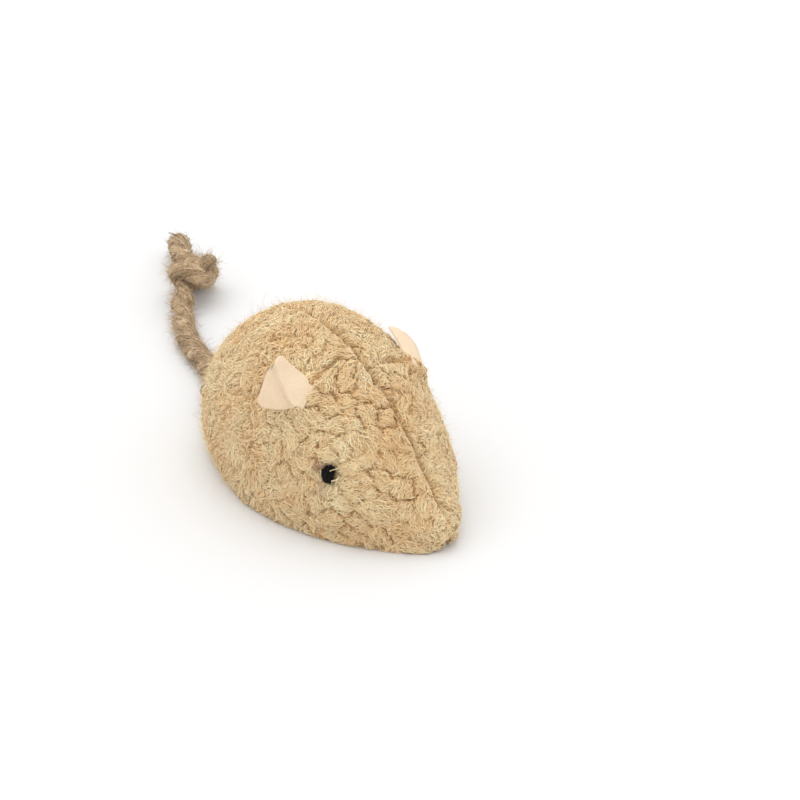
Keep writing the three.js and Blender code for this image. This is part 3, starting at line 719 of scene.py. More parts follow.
def frayed_brush(line):
    """Strands that leave the core of a line. Each keeps its own angle, which winds with half the rope's
    lay, and its own share of the width; it leans aside with the square of the way and stops short by
    chance."""
    ahead, side, up = carried_frame(line)
    share = np.linspace(FRAY_STARTS, FRAY_END, FRAY_STEPS)
    ring = (share * (len(line) - 1)).astype(int)
    angle = rng.uniform(0, 2 * np.pi, FRAY_STRANDS)[:, None] + np.pi * share * line_length(line) / LAY
    width = np.interp(share, [FRAY_STARTS, FRAY_OPENS, FRAY_END], FRAY_SPREAD)
    out = np.sqrt(rng.uniform(0, 1, FRAY_STRANDS))[:, None] * width
    curl = rng.normal(0, FRAY_CURL, (FRAY_STRANDS, 2))
    lean = np.linspace(0, 1, FRAY_STEPS) ** 2
    across = out * np.cos(angle) + curl[:, :1] * lean
    rise = out * np.sin(angle) + curl[:, 1:] * lean
    short = FRAY_SHORT * rng.uniform(0, 1, FRAY_STRANDS)[:, None] * lean
    return (line[ring] + across[..., None] * side[ring] + rise[..., None] * up[ring]
            - short[..., None] * ahead[ring])


def rope_yarns(line, diameter, turn, first, last):
    """Single fibres that lie on the rope along its plies, with a slow drift round it and a lift here and
    there."""
    count = int(YARNS_PER_MM * (last - first))
    length = np.minimum(rng.uniform(*YARN_LENGTH, count), last - first)[:, None]
    share = np.linspace(0, 1, YARN_STEPS)[None]
    along = first + rng.uniform(0, 1, count)[:, None] * (last - first - length) + length * share
    start = rng.uniform(0, 2 * np.pi, count)[:, None]
    around = start + rng.normal(0, YARN_DRIFT, count)[:, None] * (share - 0.5)
    middle, outward, radius = rope_place(line, along, around, diameter, turn)
    lift = rng.exponential(YARN_LIFT, count)[:, None] * np.sin(np.pi * share) ** 2
    return middle + outward * (radius * YARN_OUTSIDE + lift)[..., None]


def rope_fuzz(line, diameter, count):
    """Hairs that leave a rope's outline slantwise, with roots just under it."""
    ahead, side, up = carried_frame(line)
    ring = rng.integers(2, len(line) - 2, count)
    angle = rng.uniform(0, 2 * np.pi, count)[:, None]
    outward = np.cos(angle) * side[ring] + np.sin(angle) * up[ring]
    roots = line[ring] + outward * diameter * FUZZ_ROOT
    slant = rng.normal(0, FUZZ_ALONG, (count, 1)) * ahead[ring]
    ways = unit(FUZZ_OUT * outward + slant + rng.normal(0, FUZZ_ASTRAY, (count, 3)))
    length = rng.uniform(*FUZZ_LENGTH, count) * rng.uniform(FUZZ_SHORTEST, 1, count)
    bend = rng.normal(0, HAIR_BEND, count)
    return hairs(roots, ways, length, FUZZ_STEPS, bend, np.full(count, FUZZ_RADIUS))


def jute_strands(name, paths, radius, tones, body=None):
    """Loose jute strands as one piece, none of them below the floor, each with a random facing and tone."""
    paths[..., 2] = np.maximum(paths[..., 2], np.max(radius))
    facing = any_way(len(paths))
    piece = strand_piece(name, paths, radius, facing, tone=rng.uniform(*tones, len(paths))[:, None])
    return dress(piece, JUTE, body=body)


end_line = smooth_line(on_tail(END_ROUTE), ROPE_RING_STEP)
end_share = np.linspace(0, 1, len(end_line))
end_line[:, 2] -= END_DROP * end_share
in_core = end_share < FRAY_CORE
core_spread = np.interp(end_share, [FRAY_OPENS, FRAY_CORE], CORE_SPREAD)
end_surface = rope_surface(end_line[in_core], ROPE, END_TURN, core_spread[in_core])
end_rope = dress(tube_piece("tail_end_rope", *end_surface), JUTE, ["tail_end"], "tail")
fray = jute_strands("tail_fray", frayed_brush(end_line), FRAY_RADIUS, FRAY_TONES, "tail")

root_end, whole_end, knot_end = (line_length(line) for line in (root_line, whole_line, knot_line))
bend_end = root_end + BEND_LENGTH
free_yarns = np.concatenate([
    rope_yarns(whole_line, ROPE, 0, bend_end, whole_end),
    rope_yarns(knot_line, KNOT_ROPE, KNOT_TURN, 0, knot_end),
    rope_yarns(end_line, END_ROPE, END_TURN, 0, FRAY_CORE * line_length(end_line)),
])
yarns = jute_strands("tail_yarns", free_yarns, YARN_RADIUS, YARN_TONES, "tail")
root_yarns, bend_yarns = (
    jute_strands(name, rope_yarns(whole_line, ROPE, 0, first, last), YARN_RADIUS, YARN_TONES)
    for name, first, last in (("tail_root_yarns", root_end - BEND_LENGTH, root_end),
                              ("tail_bend_yarns", root_end, bend_end + YARN_LENGTH[0])))

past_bend = int(BEND_LENGTH / ROPE_RING_STEP)
cord_fuzz = rope_fuzz(cord_line[past_bend:], ROPE, int(FUZZ_PER_MM * line_length(cord_line)))
end_fuzz = rope_fuzz(np.concatenate([knot_line, end_line]), KNOT_FUZZ_ROPE, int(FUZZ_PER_MM * knot_end))
fuzz_paths, fuzz_radius = (np.concatenate(both) for both in zip(cord_fuzz, end_fuzz))
fuzz = jute_strands("tail_fuzz", fuzz_paths, fuzz_radius, FUZZ_TONES, "tail")

for piece in (root, root_yarns):
    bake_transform(piece)
for piece in (cord, bend_yarns):
    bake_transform(piece)
print("tail end:", FRAY_STRANDS, "frayed strands and", len(fuzz_paths), "hairs")

# %% [markdown]
# ## Body form
# The body is two side panels and a flat belly, filled until it swells. Its outline is a formula: along the
# length it swells and tapers at both ends, and around it goes from the flat belly over a tight flank to a
# round back. All that follows, such as backing, pile, seams and eyes, asks this one function for its place.

# %% Body form
BODY_LENGTH = 80
BODY_WIDTH = 47
BODY_HEIGHT = 44
WIDEST_HEIGHT = 13
NOSE_TIP_HEIGHT = 4.6
TAIL_TIP_HEIGHT = 6
NOSE_ROUND = 4.5
REAR_ROUND = 8
BELLY_SHARE = (0.92, 0.66)
BELLY_NARROWS = (0.55, 0.95)
BACK_ROUNDNESS = 2.2
WIDTH_TAPER = (0.68, 0.62)
HEIGHT_TAPER = (0.86, 0.64)
BELLY_SEAM_HEIGHT = 3.2
NUDGE = 1e-3


def fullness(at, taper):
    """Swell along the body: a power of the way from the nose times a power of the way to the rear, scaled
    so that the fullest place is 1."""
    nose, rear = taper
    fullest = nose / (nose + rear)
    return (at / fullest) ** nose * ((1 - at) / (1 - fullest)) ** rear


def section(at):
    """Half width and the heights of the widest line, back and belly, at a share of the length."""
    full = fullness(at, HEIGHT_TAPER)
    tip = NOSE_TIP_HEIGHT + (TAIL_TIP_HEIGHT - NOSE_TIP_HEIGHT) * at
    widest = tip + (WIDEST_HEIGHT - tip) * full
    inwards = np.minimum(np.minimum(at / NOSE_ROUND, (1 - at) / REAR_ROUND) * BODY_LENGTH, 1)
    flat = np.sqrt(1 - (1 - inwards) ** 2)
    half = BODY_WIDTH / 2 * fullness(at, WIDTH_TAPER)
    return half, widest, widest + (BODY_HEIGHT - WIDEST_HEIGHT) * full, widest * (1 - flat)


def smooth_step(value, start, end):
    """0 before the start, 1 after the end, and an even change between."""
    share = np.clip((value - start) / (end - start), 0, 1)
    return share * share * (3 - 2 * share)


def length_share(station):
    """Share of the body's length at a station from 0 to 1; stations crowd towards both tips."""
    return 0.5 - 0.5 * np.cos(np.pi * station)


def one_turn(girth):
    """Girth brought back to between -3 and 3."""
    return (girth + 3) % 6 - 3


def skin(station, girth):
    """A point of the body: girth is 0 under the belly, 1 at its edge, 2 at the widest line and 3 on the
    back, negative on the mouse's right. Belly flat, flank a quarter circle, back a rounded power curve."""
    at = length_share(station)
    half, widest, top, bottom = section(at)
    girth = one_turn(girth)
    turn = np.abs(girth)
    flank = np.clip(turn - 1, 0, 1) * np.pi / 2
    back = np.clip(turn - 2, 0, 1) * np.pi / 2
    power = 2 / BACK_ROUNDNESS
    belly = BELLY_SHARE[0] + (BELLY_SHARE[1] - BELLY_SHARE[0]) * smooth_step(at, *BELLY_NARROWS)
    low = belly * np.minimum(turn, 1) + (1 - belly) * np.sin(flank)
    x = half * np.where(turn < 2, low, np.maximum(np.cos(back), 0) ** power)
    below = widest - (widest - bottom) * np.cos(flank)
    above = widest + (top - widest) * np.sin(back) ** power
    y = BODY_LENGTH * (at - 0.5) + 0 * x
    return np.stack([np.sign(girth) * x, y, np.where(turn < 2, below, above)], -1)


def skin_frame(station, girth):
    """The skin's point, its outward normal and its two slopes along station and girth."""
    before, after = np.clip(station - NUDGE, 0, 1), np.clip(station + NUDGE, 0, 1)
    ahead = (skin(after, girth) - skin(before, girth)) / (2 * NUDGE)
    over = (skin(station, girth + NUDGE) - skin(station, girth - NUDGE)) / (2 * NUDGE)
    return skin(station, girth), unit(np.cross(ahead, over)), ahead, over


def belly_seam_girth(station):
    """Girth at which the flank passes the belly seam's height."""
    _, widest, _, bottom = section(length_share(station))
    drop = np.clip((widest - BELLY_SEAM_HEIGHT) / np.maximum(widest - bottom, 1e-6), 0, 1)
    return 1 + np.arccos(drop) * 2 / np.pi


shoulder, shoulder_faces, _, _ = skin_frame(np.array([0.5]), np.array([2.5]))
print("skin: at mid left shoulder", shoulder.round(1), "faces", shoulder_faces.round(2))

# %% [markdown]
# ## Ears, eyes and seams on the form
# The frame's joints say where each ear hinges. From there come the places that the fleece has to leave
# free: the dart that holds the ear, the dimple round the eye, and the valleys along the seams.

# %% Places on the form
EAR = {"left": dict(side=1, y=-13, sweep=46), "right": dict(side=-1, y=-8.3, sweep=35)}
EYE_Y = -19.2
EYE_ANGLE = {"left": 5, "right": 19}
EYE_WIDTH = 3.2
EYE_HEIGHT = 4.6
EYE_DEPTH = 2.4


def ear_axes(name):
    """Hinge point, hinge direction, leaf direction and facing of an ear, from its joint and its sweep."""
    ear = EAR[name]
    joint = joints[name + "_ear_flop"]
    hinge = np.array(joint["pos_m"]) / MM
    along = -ear["side"] * unit(np.array(joint["axis"], float))
    outward = np.array([ear["side"] * along[2], 0, -ear["side"] * along[0]])
    sweep = np.radians(ear["sweep"])
    leaf = outward * np.cos(sweep) + np.array([0, 1, 0]) * np.sin(sweep)
    facing = outward * np.sin(sweep) - np.array([0, 1, 0]) * np.cos(sweep)
    return hinge, along, leaf, facing


def station_at(y):
    """Station whose cross-section lies at a given y."""
    return np.arccos(1 - 2 * (y / BODY_LENGTH + 0.5)) / np.pi


def eye_place(side, angle):
    """Eye point, outward normal and upward direction on the face, at an angle in degrees over the widest
    line."""
    point, normal, _, _ = skin_frame(np.array([station_at(EYE_Y)]), np.array([side * (2 + angle / 90)]))
    rise = unit(np.array([0, 0, 1]) - normal[0] * normal[0, 2])
    return point[0], normal[0], rise


eyes = {name: eye_place(ear["side"], EYE_ANGLE[name]) for name, ear in EAR.items()}
for name in EAR:
    print(name, "eye at", eyes[name][0].round(1), "ear hinge at", ear_axes(name)[0].round(1))

# %% [markdown]
# ## Drawn-in places
# Thread pulls the fleece in: along the back seam, along the belly seams, in the dart behind each ear and
# round each eye. Each is a bell curve of the distance to the line, so backing and pile sink together and no
# dip has an edge. On the back seam and the darts the pile parts, so those lines are also given by
# themselves. Round each ear's foot the fleece swells instead and hides the seam.

# %% Drawn-in places
BACK_DIP = 1.2
BELLY_DIP = 0.25
DART_DIP = 1.0
EYE_DIP = 1.7
SEAM_DIP_WIDTH = 0.8
BELLY_DIP_WIDTH = 0.9
EYE_DIP_WIDTH = 2.5
LINE_WIDTH = 0.45
TIP_WIDTH = 8
BACK_SEAM_STARTS = 2.2
SEAM_FADES = (5, 25)
SEAM_LOSES = 0.7
DART_FROM_EAR = 10
DART_TOP = 80
DART_FADE = 6
EAR_FOOT = 7
EAR_TUFT = 2.1
TUFT_WIDTH = 2.5


def bell(distance, width):
    """1 at no distance, falling to nothing over the width."""
    return np.exp(-(distance / width) ** 2)


def tip_room(station, width):
    """0 at both tips of the body, and 1 where half its width has reached the given width."""
    return np.clip(section(length_share(station))[0] / width, 0, 1)


def ear_angle(name):
    """Angle of an ear's hinge over the widest line, in degrees."""
    along = ear_axes(name)[1]
    return 90 - np.degrees(np.arctan2(along[2], abs(along[0])))


def drawn_in(station, girth, points):
    """How far the fleece is drawn in at points of the skin, in millimetres, and how near each is to a sewn
    line."""
    turn = np.abs(one_turn(girth))
    angle = (turn - 2) * 90
    room = tip_room(station, TIP_WIDTH)
    x, y, z = np.moveaxis(points, -1, 0)
    on_back = np.clip(2 * (turn - BACK_SEAM_STARTS), 0, 1) * room
    on_back = on_back * (1 - SEAM_LOSES * smooth_step(y, *SEAM_FADES))
    line = bell(x, LINE_WIDTH) * on_back
    depth = BACK_DIP * bell(x, SEAM_DIP_WIDTH) * on_back
    depth = depth + BELLY_DIP * bell(z - BELLY_SEAM_HEIGHT, BELLY_DIP_WIDTH) * (turn > 1) * room
    for name, ear in EAR.items():
        above = np.clip(angle - ear_angle(name) - DART_FROM_EAR + DART_FADE, 0, DART_FADE) / DART_FADE
        below = np.clip(DART_TOP + DART_FADE - angle, 0, DART_FADE) / DART_FADE
        on_dart = above * below * (girth * ear["side"] > 0)
        line = np.maximum(line, bell(y - ear["y"], LINE_WIDTH) * on_dart)
        depth = depth + DART_DIP * bell(y - ear["y"], SEAM_DIP_WIDTH) * on_dart
        hinge, along, _, _ = ear_axes(name)
        offset = points - hinge
        on_hinge = np.clip(offset @ along, -EAR_FOOT / 2, EAR_FOOT / 2)[..., None]
        from_foot = np.linalg.norm(offset - on_hinge * along, axis=-1)
        from_eye = np.linalg.norm(points - eyes[name][0], axis=-1)
        depth = depth - EAR_TUFT * bell(from_foot, TUFT_WIDTH)
        depth = depth + EYE_DIP * bell(from_eye, EYE_DIP_WIDTH)
    return depth, line


eye_dip, _ = drawn_in(np.array([station_at(EYE_Y)]), np.array([-2.0]), eyes["right"][0][None])
print("drawn in: at the right eye by", eye_dip.round(1), "mm")

# %% [markdown]
# ## Matted locks
# The fleece is a curly pile that has matted into flat locks with thin cracks between them: broad locks on
# the face, finer ones towards the rear. The locks could be painted noise, but then the cracks would not be
# real. Here each lock is a cell: seed points are spread over the skin by one golden-section step round the
# body after the other, which keeps them even, and each place on the skin belongs to its nearest seed. Slow
# waves over the skin let some cracks close. The solids use the same seeds.

# %% Matted locks
LOCKS = 900
FACE_Y = (-14, 14)
CROWDING = 1.3
REAR_STRETCH = 0.4
STRAY = 1.4
GOLDEN = (np.sqrt(5) - 1) / 2
AREA_STEPS = 200
CRACK_DEPTH = 0.95
CRACK_WIDTH = 0.34
OPENNESS = 2.3
PATCHES = ((0.83, 0.61, 1.07), (-1.19, 0.97, 0.53), (0.47, -1.31, 0.89))
PATCH_PHASES = (0, 2, 4)
PATCH_MIDDLE = 1.05
PATCH_SWING = 0.5
LEAST_OPEN = 0.2
LOCK_DOME = 0.22
LOCK_ROUND = 1.1
WOBBLES = ((0.4, 0.9, 0.3), (0.25, 1.9, 1.9), (0.12, 3.7, 0.7))
LOCK_LEAN = (1.5, 0.6)
LOCK_RISE = (0.12, 0.072)
LOCK_TONE = 0.04
CRACKS_OPEN = (1, 0.55)
NOSE_PLUMP = 1.3
NOSE_REACH = 9
NOSE_TIP = np.array([0, -BODY_LENGTH / 2, NOSE_TIP_HEIGHT])
SEARCH_BLOCK = 4000


def rearward(y):
    """0 on the face and 1 on the rear, with a smooth change between."""
    return smooth_step(y, *FACE_Y)


def drawn_out(points):
    """Points with the rear drawn out along the body, so that cells which are even here are narrow there."""
    copy = points.copy()
    copy[:, 1] += REAR_STRETCH * np.maximum(points[:, 1] - FACE_Y[0], 0)
    return copy


def wobble(points):
    """A wavy shift of points, so that the borders between locks are no straight lines: sines of the other
    two coordinates in three sizes."""
    shift = np.zeros_like(points)
    for size, pace, phase in WOBBLES:
        x, y, z = pace * points.T + phase
        shift += size * np.stack([np.sin(y + 1.3 * z), np.sin(z - 0.8 * x + 2), np.sin(x + 1.1 * y + 4)], 1)
    return points + shift


def quarter_round(a, b):
    """Length of a quarter of an oval."""
    return np.pi / 2 * np.sqrt((a * a + b * b) / 2)


def turn_at(share):
    """Girth at a share of the way round one side, from the belly's middle to the back seam."""
    belly = BELLY_SHARE[0] * BODY_WIDTH / 2
    flank = quarter_round((1 - BELLY_SHARE[0]) * BODY_WIDTH / 2, WIDEST_HEIGHT)
    back = quarter_round(BODY_WIDTH / 2, BODY_HEIGHT - WIDEST_HEIGHT)
    marks = np.cumsum([0, belly, flank, back])
    return np.interp(share, marks / marks[-1], [0, 1, 2, 3])


def chance(number, kind):
    """A value from 0 to 1 that looks random: the fraction of a large sine."""
    return np.modf(np.sin(number * 12.9898 + kind) * 43758.5453)[0] % 1


def lock_places():
    """Length shares and girths of the seeds: equal shares of the skin's area along the body, each a little
    astray."""
    middles = (np.arange(AREA_STEPS) + 0.5) / AREA_STEPS
    half, _, top, bottom = section(middles)
    area = (half + top - bottom) * (1 + CROWDING * rearward(BODY_LENGTH * (middles - 0.5)))
    total = np.concatenate([[0], np.cumsum(area)])
    number = np.arange(LOCKS)
    at = np.interp((number + 0.5) / LOCKS * total[-1], total, np.arange(AREA_STEPS + 1) / AREA_STEPS)
    at = np.clip(at + STRAY * (chance(number, 1) - 0.5) / BODY_LENGTH, 0, 1)
    around = 2 * ((number * GOLDEN + STRAY * (chance(number, 2) - 0.5) / BODY_LENGTH) % 1) - 1
    return at, np.sign(around) * turn_at(np.abs(around))


def nearest_two(points, centres):
    """The numbers of each point's nearest and second nearest centre, worked out in blocks to save
    memory."""
    size = (centres**2).sum(1)
    found = []
    for block in np.array_split(points, len(points) // SEARCH_BLOCK + 1):
        far = size - 2 * block @ centres.T
        row = np.arange(len(block))
        first = far.argmin(1)
        far[row, first] = np.inf
        found.append(np.stack([first, far.argmin(1)]))
    return np.concatenate(found, 1)


def face_to_rear(ends, rear):
    """A value that goes from its first end on the face to its second on the rear."""
    return ends[0] + (ends[1] - ends[0]) * rear


lock_at, lock_girth = lock_places()
lock_points = skin(station_at(BODY_LENGTH * (lock_at - 0.5)), lock_girth)
lock_seeds = drawn_out(lock_points)
lock_split = chance(np.arange(LOCKS), 3)
lock_rear = rearward(lock_points[:, 1])
lock_lean = rng.normal(0, 1, LOCKS) * face_to_rear(LOCK_LEAN, lock_rear)
lock_rise = rng.normal(0, 1, LOCKS) * face_to_rear(LOCK_RISE, lock_rear)
lock_tone = rng.normal(0, LOCK_TONE, LOCKS)


def patchy(points):
    """How far a crack is let open at each point, from a little to 1: a sum of three sines, so that few
    cracks run all round a lock."""
    waves = np.sin(points @ np.transpose(PATCHES) + PATCH_PHASES).sum(1)
    return np.clip(PATCH_MIDDLE + PATCH_SWING * waves, LEAST_OPEN, 1)


def relief(points):
    """Height of the matted surface over the skin, with the lock and how open its nearest crack is. The
    distance to the border is that to the plane halfway between the two nearest seeds; a crack is a bell
    curve of it."""
    warped = drawn_out(wobble(points))
    own, other = nearest_two(warped, lock_seeds)
    between = lock_seeds[other] - lock_seeds[own]
    gap = np.maximum(np.linalg.norm(between, axis=1), 1e-6)
    border = np.abs((((lock_seeds[own] + lock_seeds[other]) / 2 - warped) * between).sum(1)) / gap
    parted = np.clip(OPENNESS * np.abs(lock_split[own] - lock_split[other]), 0, 1)
    parted = parted * face_to_rear(CRACKS_OPEN, lock_rear[own]) * patchy(points)
    inner = 1 - bell(border, LOCK_ROUND)
    crack = parted * bell(border, CRACK_WIDTH)
    plump = NOSE_PLUMP * bell(np.linalg.norm(points - NOSE_TIP, axis=1), NOSE_REACH)
    return (lock_rise[own] + LOCK_DOME) * inner - LOCK_DOME - CRACK_DEPTH * crack + plump, own, crack


print("locks:", LOCKS, "seeds, of them on the face", int((lock_rear < 0.5).sum()))

# %% [markdown]
# ## Backing
# Under the pile lies the knitted backing of each panel. It shows only as shade in the cracks, yet it closes
# the body, so each panel is a closed shell: an outer wall that follows the locks, an inner wall, and edges
# between.

# %% Backing
BACKING_DEPTH = 0.3
BACKING_WALL = 1.6
BACKING_TIP_WIDTH = 6
BACKING_LOWEST = 0.35
CRACK_SHADE = 0.45
PANEL_GRID = (170, 112)
PANEL_ENDS = (0.012, 0.988)
PANEL_GAP = 0.02
BACK_SEAM_GIRTH = 2.995


def backing_wall(station, girth):
    """Backing points: the matted surface less the pile's depth, sunk in each drawn-in place; and their
    tone, with painted shade in the cracks and along the sewn lines."""
    shape = station.shape
    station, girth = station.ravel(), girth.ravel()
    point, normal, _, _ = skin_frame(station, girth)
    height, lock, crack = relief(point)
    dip, line = drawn_in(station, girth, point)
    room = tip_room(station, BACKING_TIP_WIDTH)
    depth = BACKING_DEPTH - height + dip
    outer = point - normal * (depth * room)[:, None]
    inner = point - normal * ((depth + BACKING_WALL) * room)[:, None]
    value = MIDDLE_TONE - CRACK_SHADE * np.maximum(crack, line) + lock_tone[lock]
    return outer.reshape(*shape, 3), inner.reshape(*shape, 3), value.reshape(shape)


def panel(name, node, low, high, side):
    """One panel between two girths that vary along the body: per row, a ring of points goes out along the
    outer wall and back along the inner wall."""
    station = np.linspace(*PANEL_ENDS, PANEL_GRID[0])[:, None]
    share = np.linspace(0, 1, PANEL_GRID[1])[None]
    girth = side * (low(station) + (high(station) - low(station)) * share)
    outer, inner, value = backing_wall(np.broadcast_to(station, girth.shape), girth)
    rings = np.concatenate([outer, inner[:, ::-1]], 1)
    rings[..., 2] = np.maximum(rings[..., 2], BACKING_LOWEST)
    piece = tube_piece(name, rings, np.concatenate([value, value[:, ::-1]], 1), turned=side > 0)
    dress(piece, BACKING, [node], "mouse")
    return piece


def back_seam_girth(station):
    """The back seam runs along the top."""
    return np.full_like(station, BACK_SEAM_GIRTH)


def below_belly_seam(station):
    """The belly panel's edge, just short of the side panels."""
    return belly_seam_girth(station) - PANEL_GAP


def other_belly_seam(station):
    """The belly panel's other edge, on the far side."""
    return -below_belly_seam(station)


for name, ear in EAR.items():
    panel(f"{name}_side_backing", f"{name}_side_panel", belly_seam_girth, back_seam_girth, ear["side"])
belly = panel("belly_backing", "belly_panel", other_belly_seam, below_belly_seam, 1)
print("backing: 3 panels of", len(belly.data.polygons), "faces")

# %% [markdown]
# ## Pile
# Now the fibres. Each is a short arc that starts somewhere on the skin and walks over it along the lie of
# its lock, bending one way or the other: a lot on the face, where the pile is crimped, and less on the
# rear, where it leans forwards and up. It stops at an open crack or a sewn line, and its height is that of
# the matted surface, with both ends tucked in. The arcs are flat ribbons more than round wires, since
# matted fibres lie pressed together.

# %% Pile
PILE = 52000
PILE_STEPS = 5
PILE_LENGTH = (1.4, 2.8)
PILE_RADIUS = (0.11, 0.17)
PILE_FLATNESS = 0.5
PILE_TURN = (2.5, 0.8)
PILE_SPREAD = (0.38, 0.28)
PILE_LAYER = (-0.2, 0.08)
PILE_LOWEST = 0.2
REAR_LEAN = 0.7
END_TUCK = 0.22
SHORTEST = 0.3
CROSSES_BELOW = 0.25
STOPS_ABOVE = 0.8
FIBRE_TONE = 0.05
# Painted light and shade on the pile: higher fibres and raised loops are painted paler, lower fibres darker.
LAYER_PAINTED_LIGHT = 0.2
LOOP_SHARE = 0.045
LOOP_LIFT = 0.16
LOOP_PAINTED_LIGHT = 0.14
LOOP_THICKER = 0.2
SCATTER_GRID = (260, 360)
CHART_ENDS = (0.006, 0.994)
LONGEST_TURN = 0.4


def scatter(count):
    """Random places spread evenly over the skin's area: cells of a grid drawn by their area, then a random
    place within each cell."""
    rows, columns = SCATTER_GRID
    station = (np.arange(rows) + 0.5) / rows
    girth = -3 + 6 * (np.arange(columns) + 0.5) / columns
    _, _, ahead, over = skin_frame(*np.meshgrid(station, girth, indexing="ij"))
    area = np.linalg.norm(np.cross(ahead, over), axis=-1).ravel()
    cell = rng.choice(rows * columns, count, p=area / area.sum())
    jitter = rng.uniform(-0.5, 0.5, (2, count))
    return station[cell // columns] + jitter[0] / rows, girth[cell % columns] + 6 * jitter[1] / columns


def step_on_skin(station, girth, way, distance):
    """One step on the skin: the small change of station and girth whose move comes nearest to the wanted
    way."""
    _, _, ahead, over = skin_frame(station, girth)
    a, b, c = ((p * q).sum(-1) for p, q in ((ahead, ahead), (ahead, over), (over, over)))
    p, q = (way * ahead).sum(-1), (way * over).sum(-1)
    size = np.maximum(a * c - b * b, 1e-3)
    station = np.clip(station + distance * (c * p - b * q) / size, *CHART_ENDS)
    return station, girth + np.clip(distance * (a * q - b * p) / size, -LONGEST_TURN, LONGEST_TURN)


def lie(station, girth, lean):
    """Direction on the skin at an angle from straight over the back."""
    _, normal, _, over = skin_frame(station, girth)
    over = unit(over)
    return np.cos(lean)[:, None] * over + np.sin(lean)[:, None] * np.cross(over, normal)


def walk(station, girth, lean, turn, length):
    """Paths of chart places over the skin, with the direction turning evenly from half the turn on one side
    to half the turn on the other."""
    places = []
    for step in range(PILE_STEPS):
        places.append((station, girth))
        share = (step + 0.5) / (PILE_STEPS - 1) - 0.5
        way = lie(station, girth, lean + turn * share)
        station, girth = step_on_skin(station, girth, way, length / (PILE_STEPS - 1))
    return np.moveaxis(np.array(places), 0, -1)


def on_surface(chart):
    """What lies under each point of the paths: skin point, normal, matted height less the dip, lock, and
    how much the pile parts there."""
    flat = chart.reshape(2, -1)
    point, normal, _, _ = skin_frame(*flat)
    height, lock, crack = relief(point)
    dip, line = drawn_in(*flat, point)
    return [field.reshape(PILE, PILE_STEPS, *field.shape[1:])
            for field in (point, normal, height - dip, lock, np.maximum(crack, line))]


pile_station, pile_girth = scatter(PILE)
pile_side = np.sign(one_turn(pile_girth))
_, pile_lock, _ = relief(skin(pile_station, pile_girth))
pile_rear = lock_rear[pile_lock]
pile_lean = lock_lean[pile_lock] - REAR_LEAN * pile_side * pile_rear
pile_lean += rng.normal(0, 1, PILE) * face_to_rear(PILE_SPREAD, pile_rear) + np.pi * rng.integers(0, 2, PILE)
pile_turn = rng.normal(0, 1, PILE) * face_to_rear(PILE_TURN, pile_rear)
pile_length = rng.uniform(*PILE_LENGTH, PILE)
_, _, _, met, parting = on_surface(walk(pile_station, pile_girth, pile_lean, pile_turn, pile_length))
stays = ((met == pile_lock[:, None]) | (parting < CROSSES_BELOW)) & (parting < STOPS_ABOVE)
kept_share = np.where(stays.all(1), 1, np.argmin(stays, 1) / (PILE_STEPS - 1))
chart = walk(pile_station, pile_girth, pile_lean, pile_turn, pile_length * np.maximum(kept_share, SHORTEST))
point, normal, surface, _, parting = on_surface(chart)
is_loop = rng.uniform(0, 1, PILE) < LOOP_SHARE
layer = np.where(is_loop, LOOP_LIFT, rng.uniform(*PILE_LAYER, PILE))[:, None]
tucked = END_TUCK * np.linspace(-1, 1, PILE_STEPS) ** 4
paths = point + normal * (surface + layer - tucked)[..., None]
paths[..., 2] = np.maximum(paths[..., 2], PILE_LOWEST)
facing = normal[:, PILE_STEPS // 2]
strand_middle = paths[:, PILE_STEPS // 2]
# Tone is random per lock and fibre, with painted light on raised loops and higher fibres, and painted shade
# on lower fibres and where the pile parts.
fibre_tone = MIDDLE_TONE + lock_tone[pile_lock] + rng.normal(0, FIBRE_TONE, PILE) + LOOP_PAINTED_LIGHT * is_loop
pile_tone = fibre_tone[:, None] + LAYER_PAINTED_LIGHT * layer - CRACK_SHADE * parting
pile_radius = rng.uniform(*PILE_RADIUS, PILE) * (1 + LOOP_THICKER * is_loop)
print("pile:", PILE, "fibres,", round(100 * (kept_share < 1).mean()), "% cut short at a crack")

# %% [markdown]
# ## Fibres round the eyes
# The thread that holds the eyes has left reddish fibres behind and below each eye, and a few pale fibres
# lap over its front edge. The other fibres that would cross the eye are left out. The rest becomes pieces
# by side and by band along the body; under the belly, where the mouse rests, the pile is rubbed thin.

# %% Fibres round the eyes
STAIN_SPOTS = ((2.8, 1.2, 1), (1.6, -3.8, 0.5))
STAIN_WIDTH = 1.4
STAIN_EVENNESS = 0.2
FRONT_LAP = 0.62
LAP_ENDS = 1.1
LAP_SHARE = 0.12
LAP_HEIGHT = 0.4
NEAR_EYE = 3
BANDS = {"face": (-41, -16), "shoulder": (-16, 3), "flank": (3, 21), "rump": (21, 41)}
BELLY_EDGE = 1.05
RUBBED_EDGE = 0.85

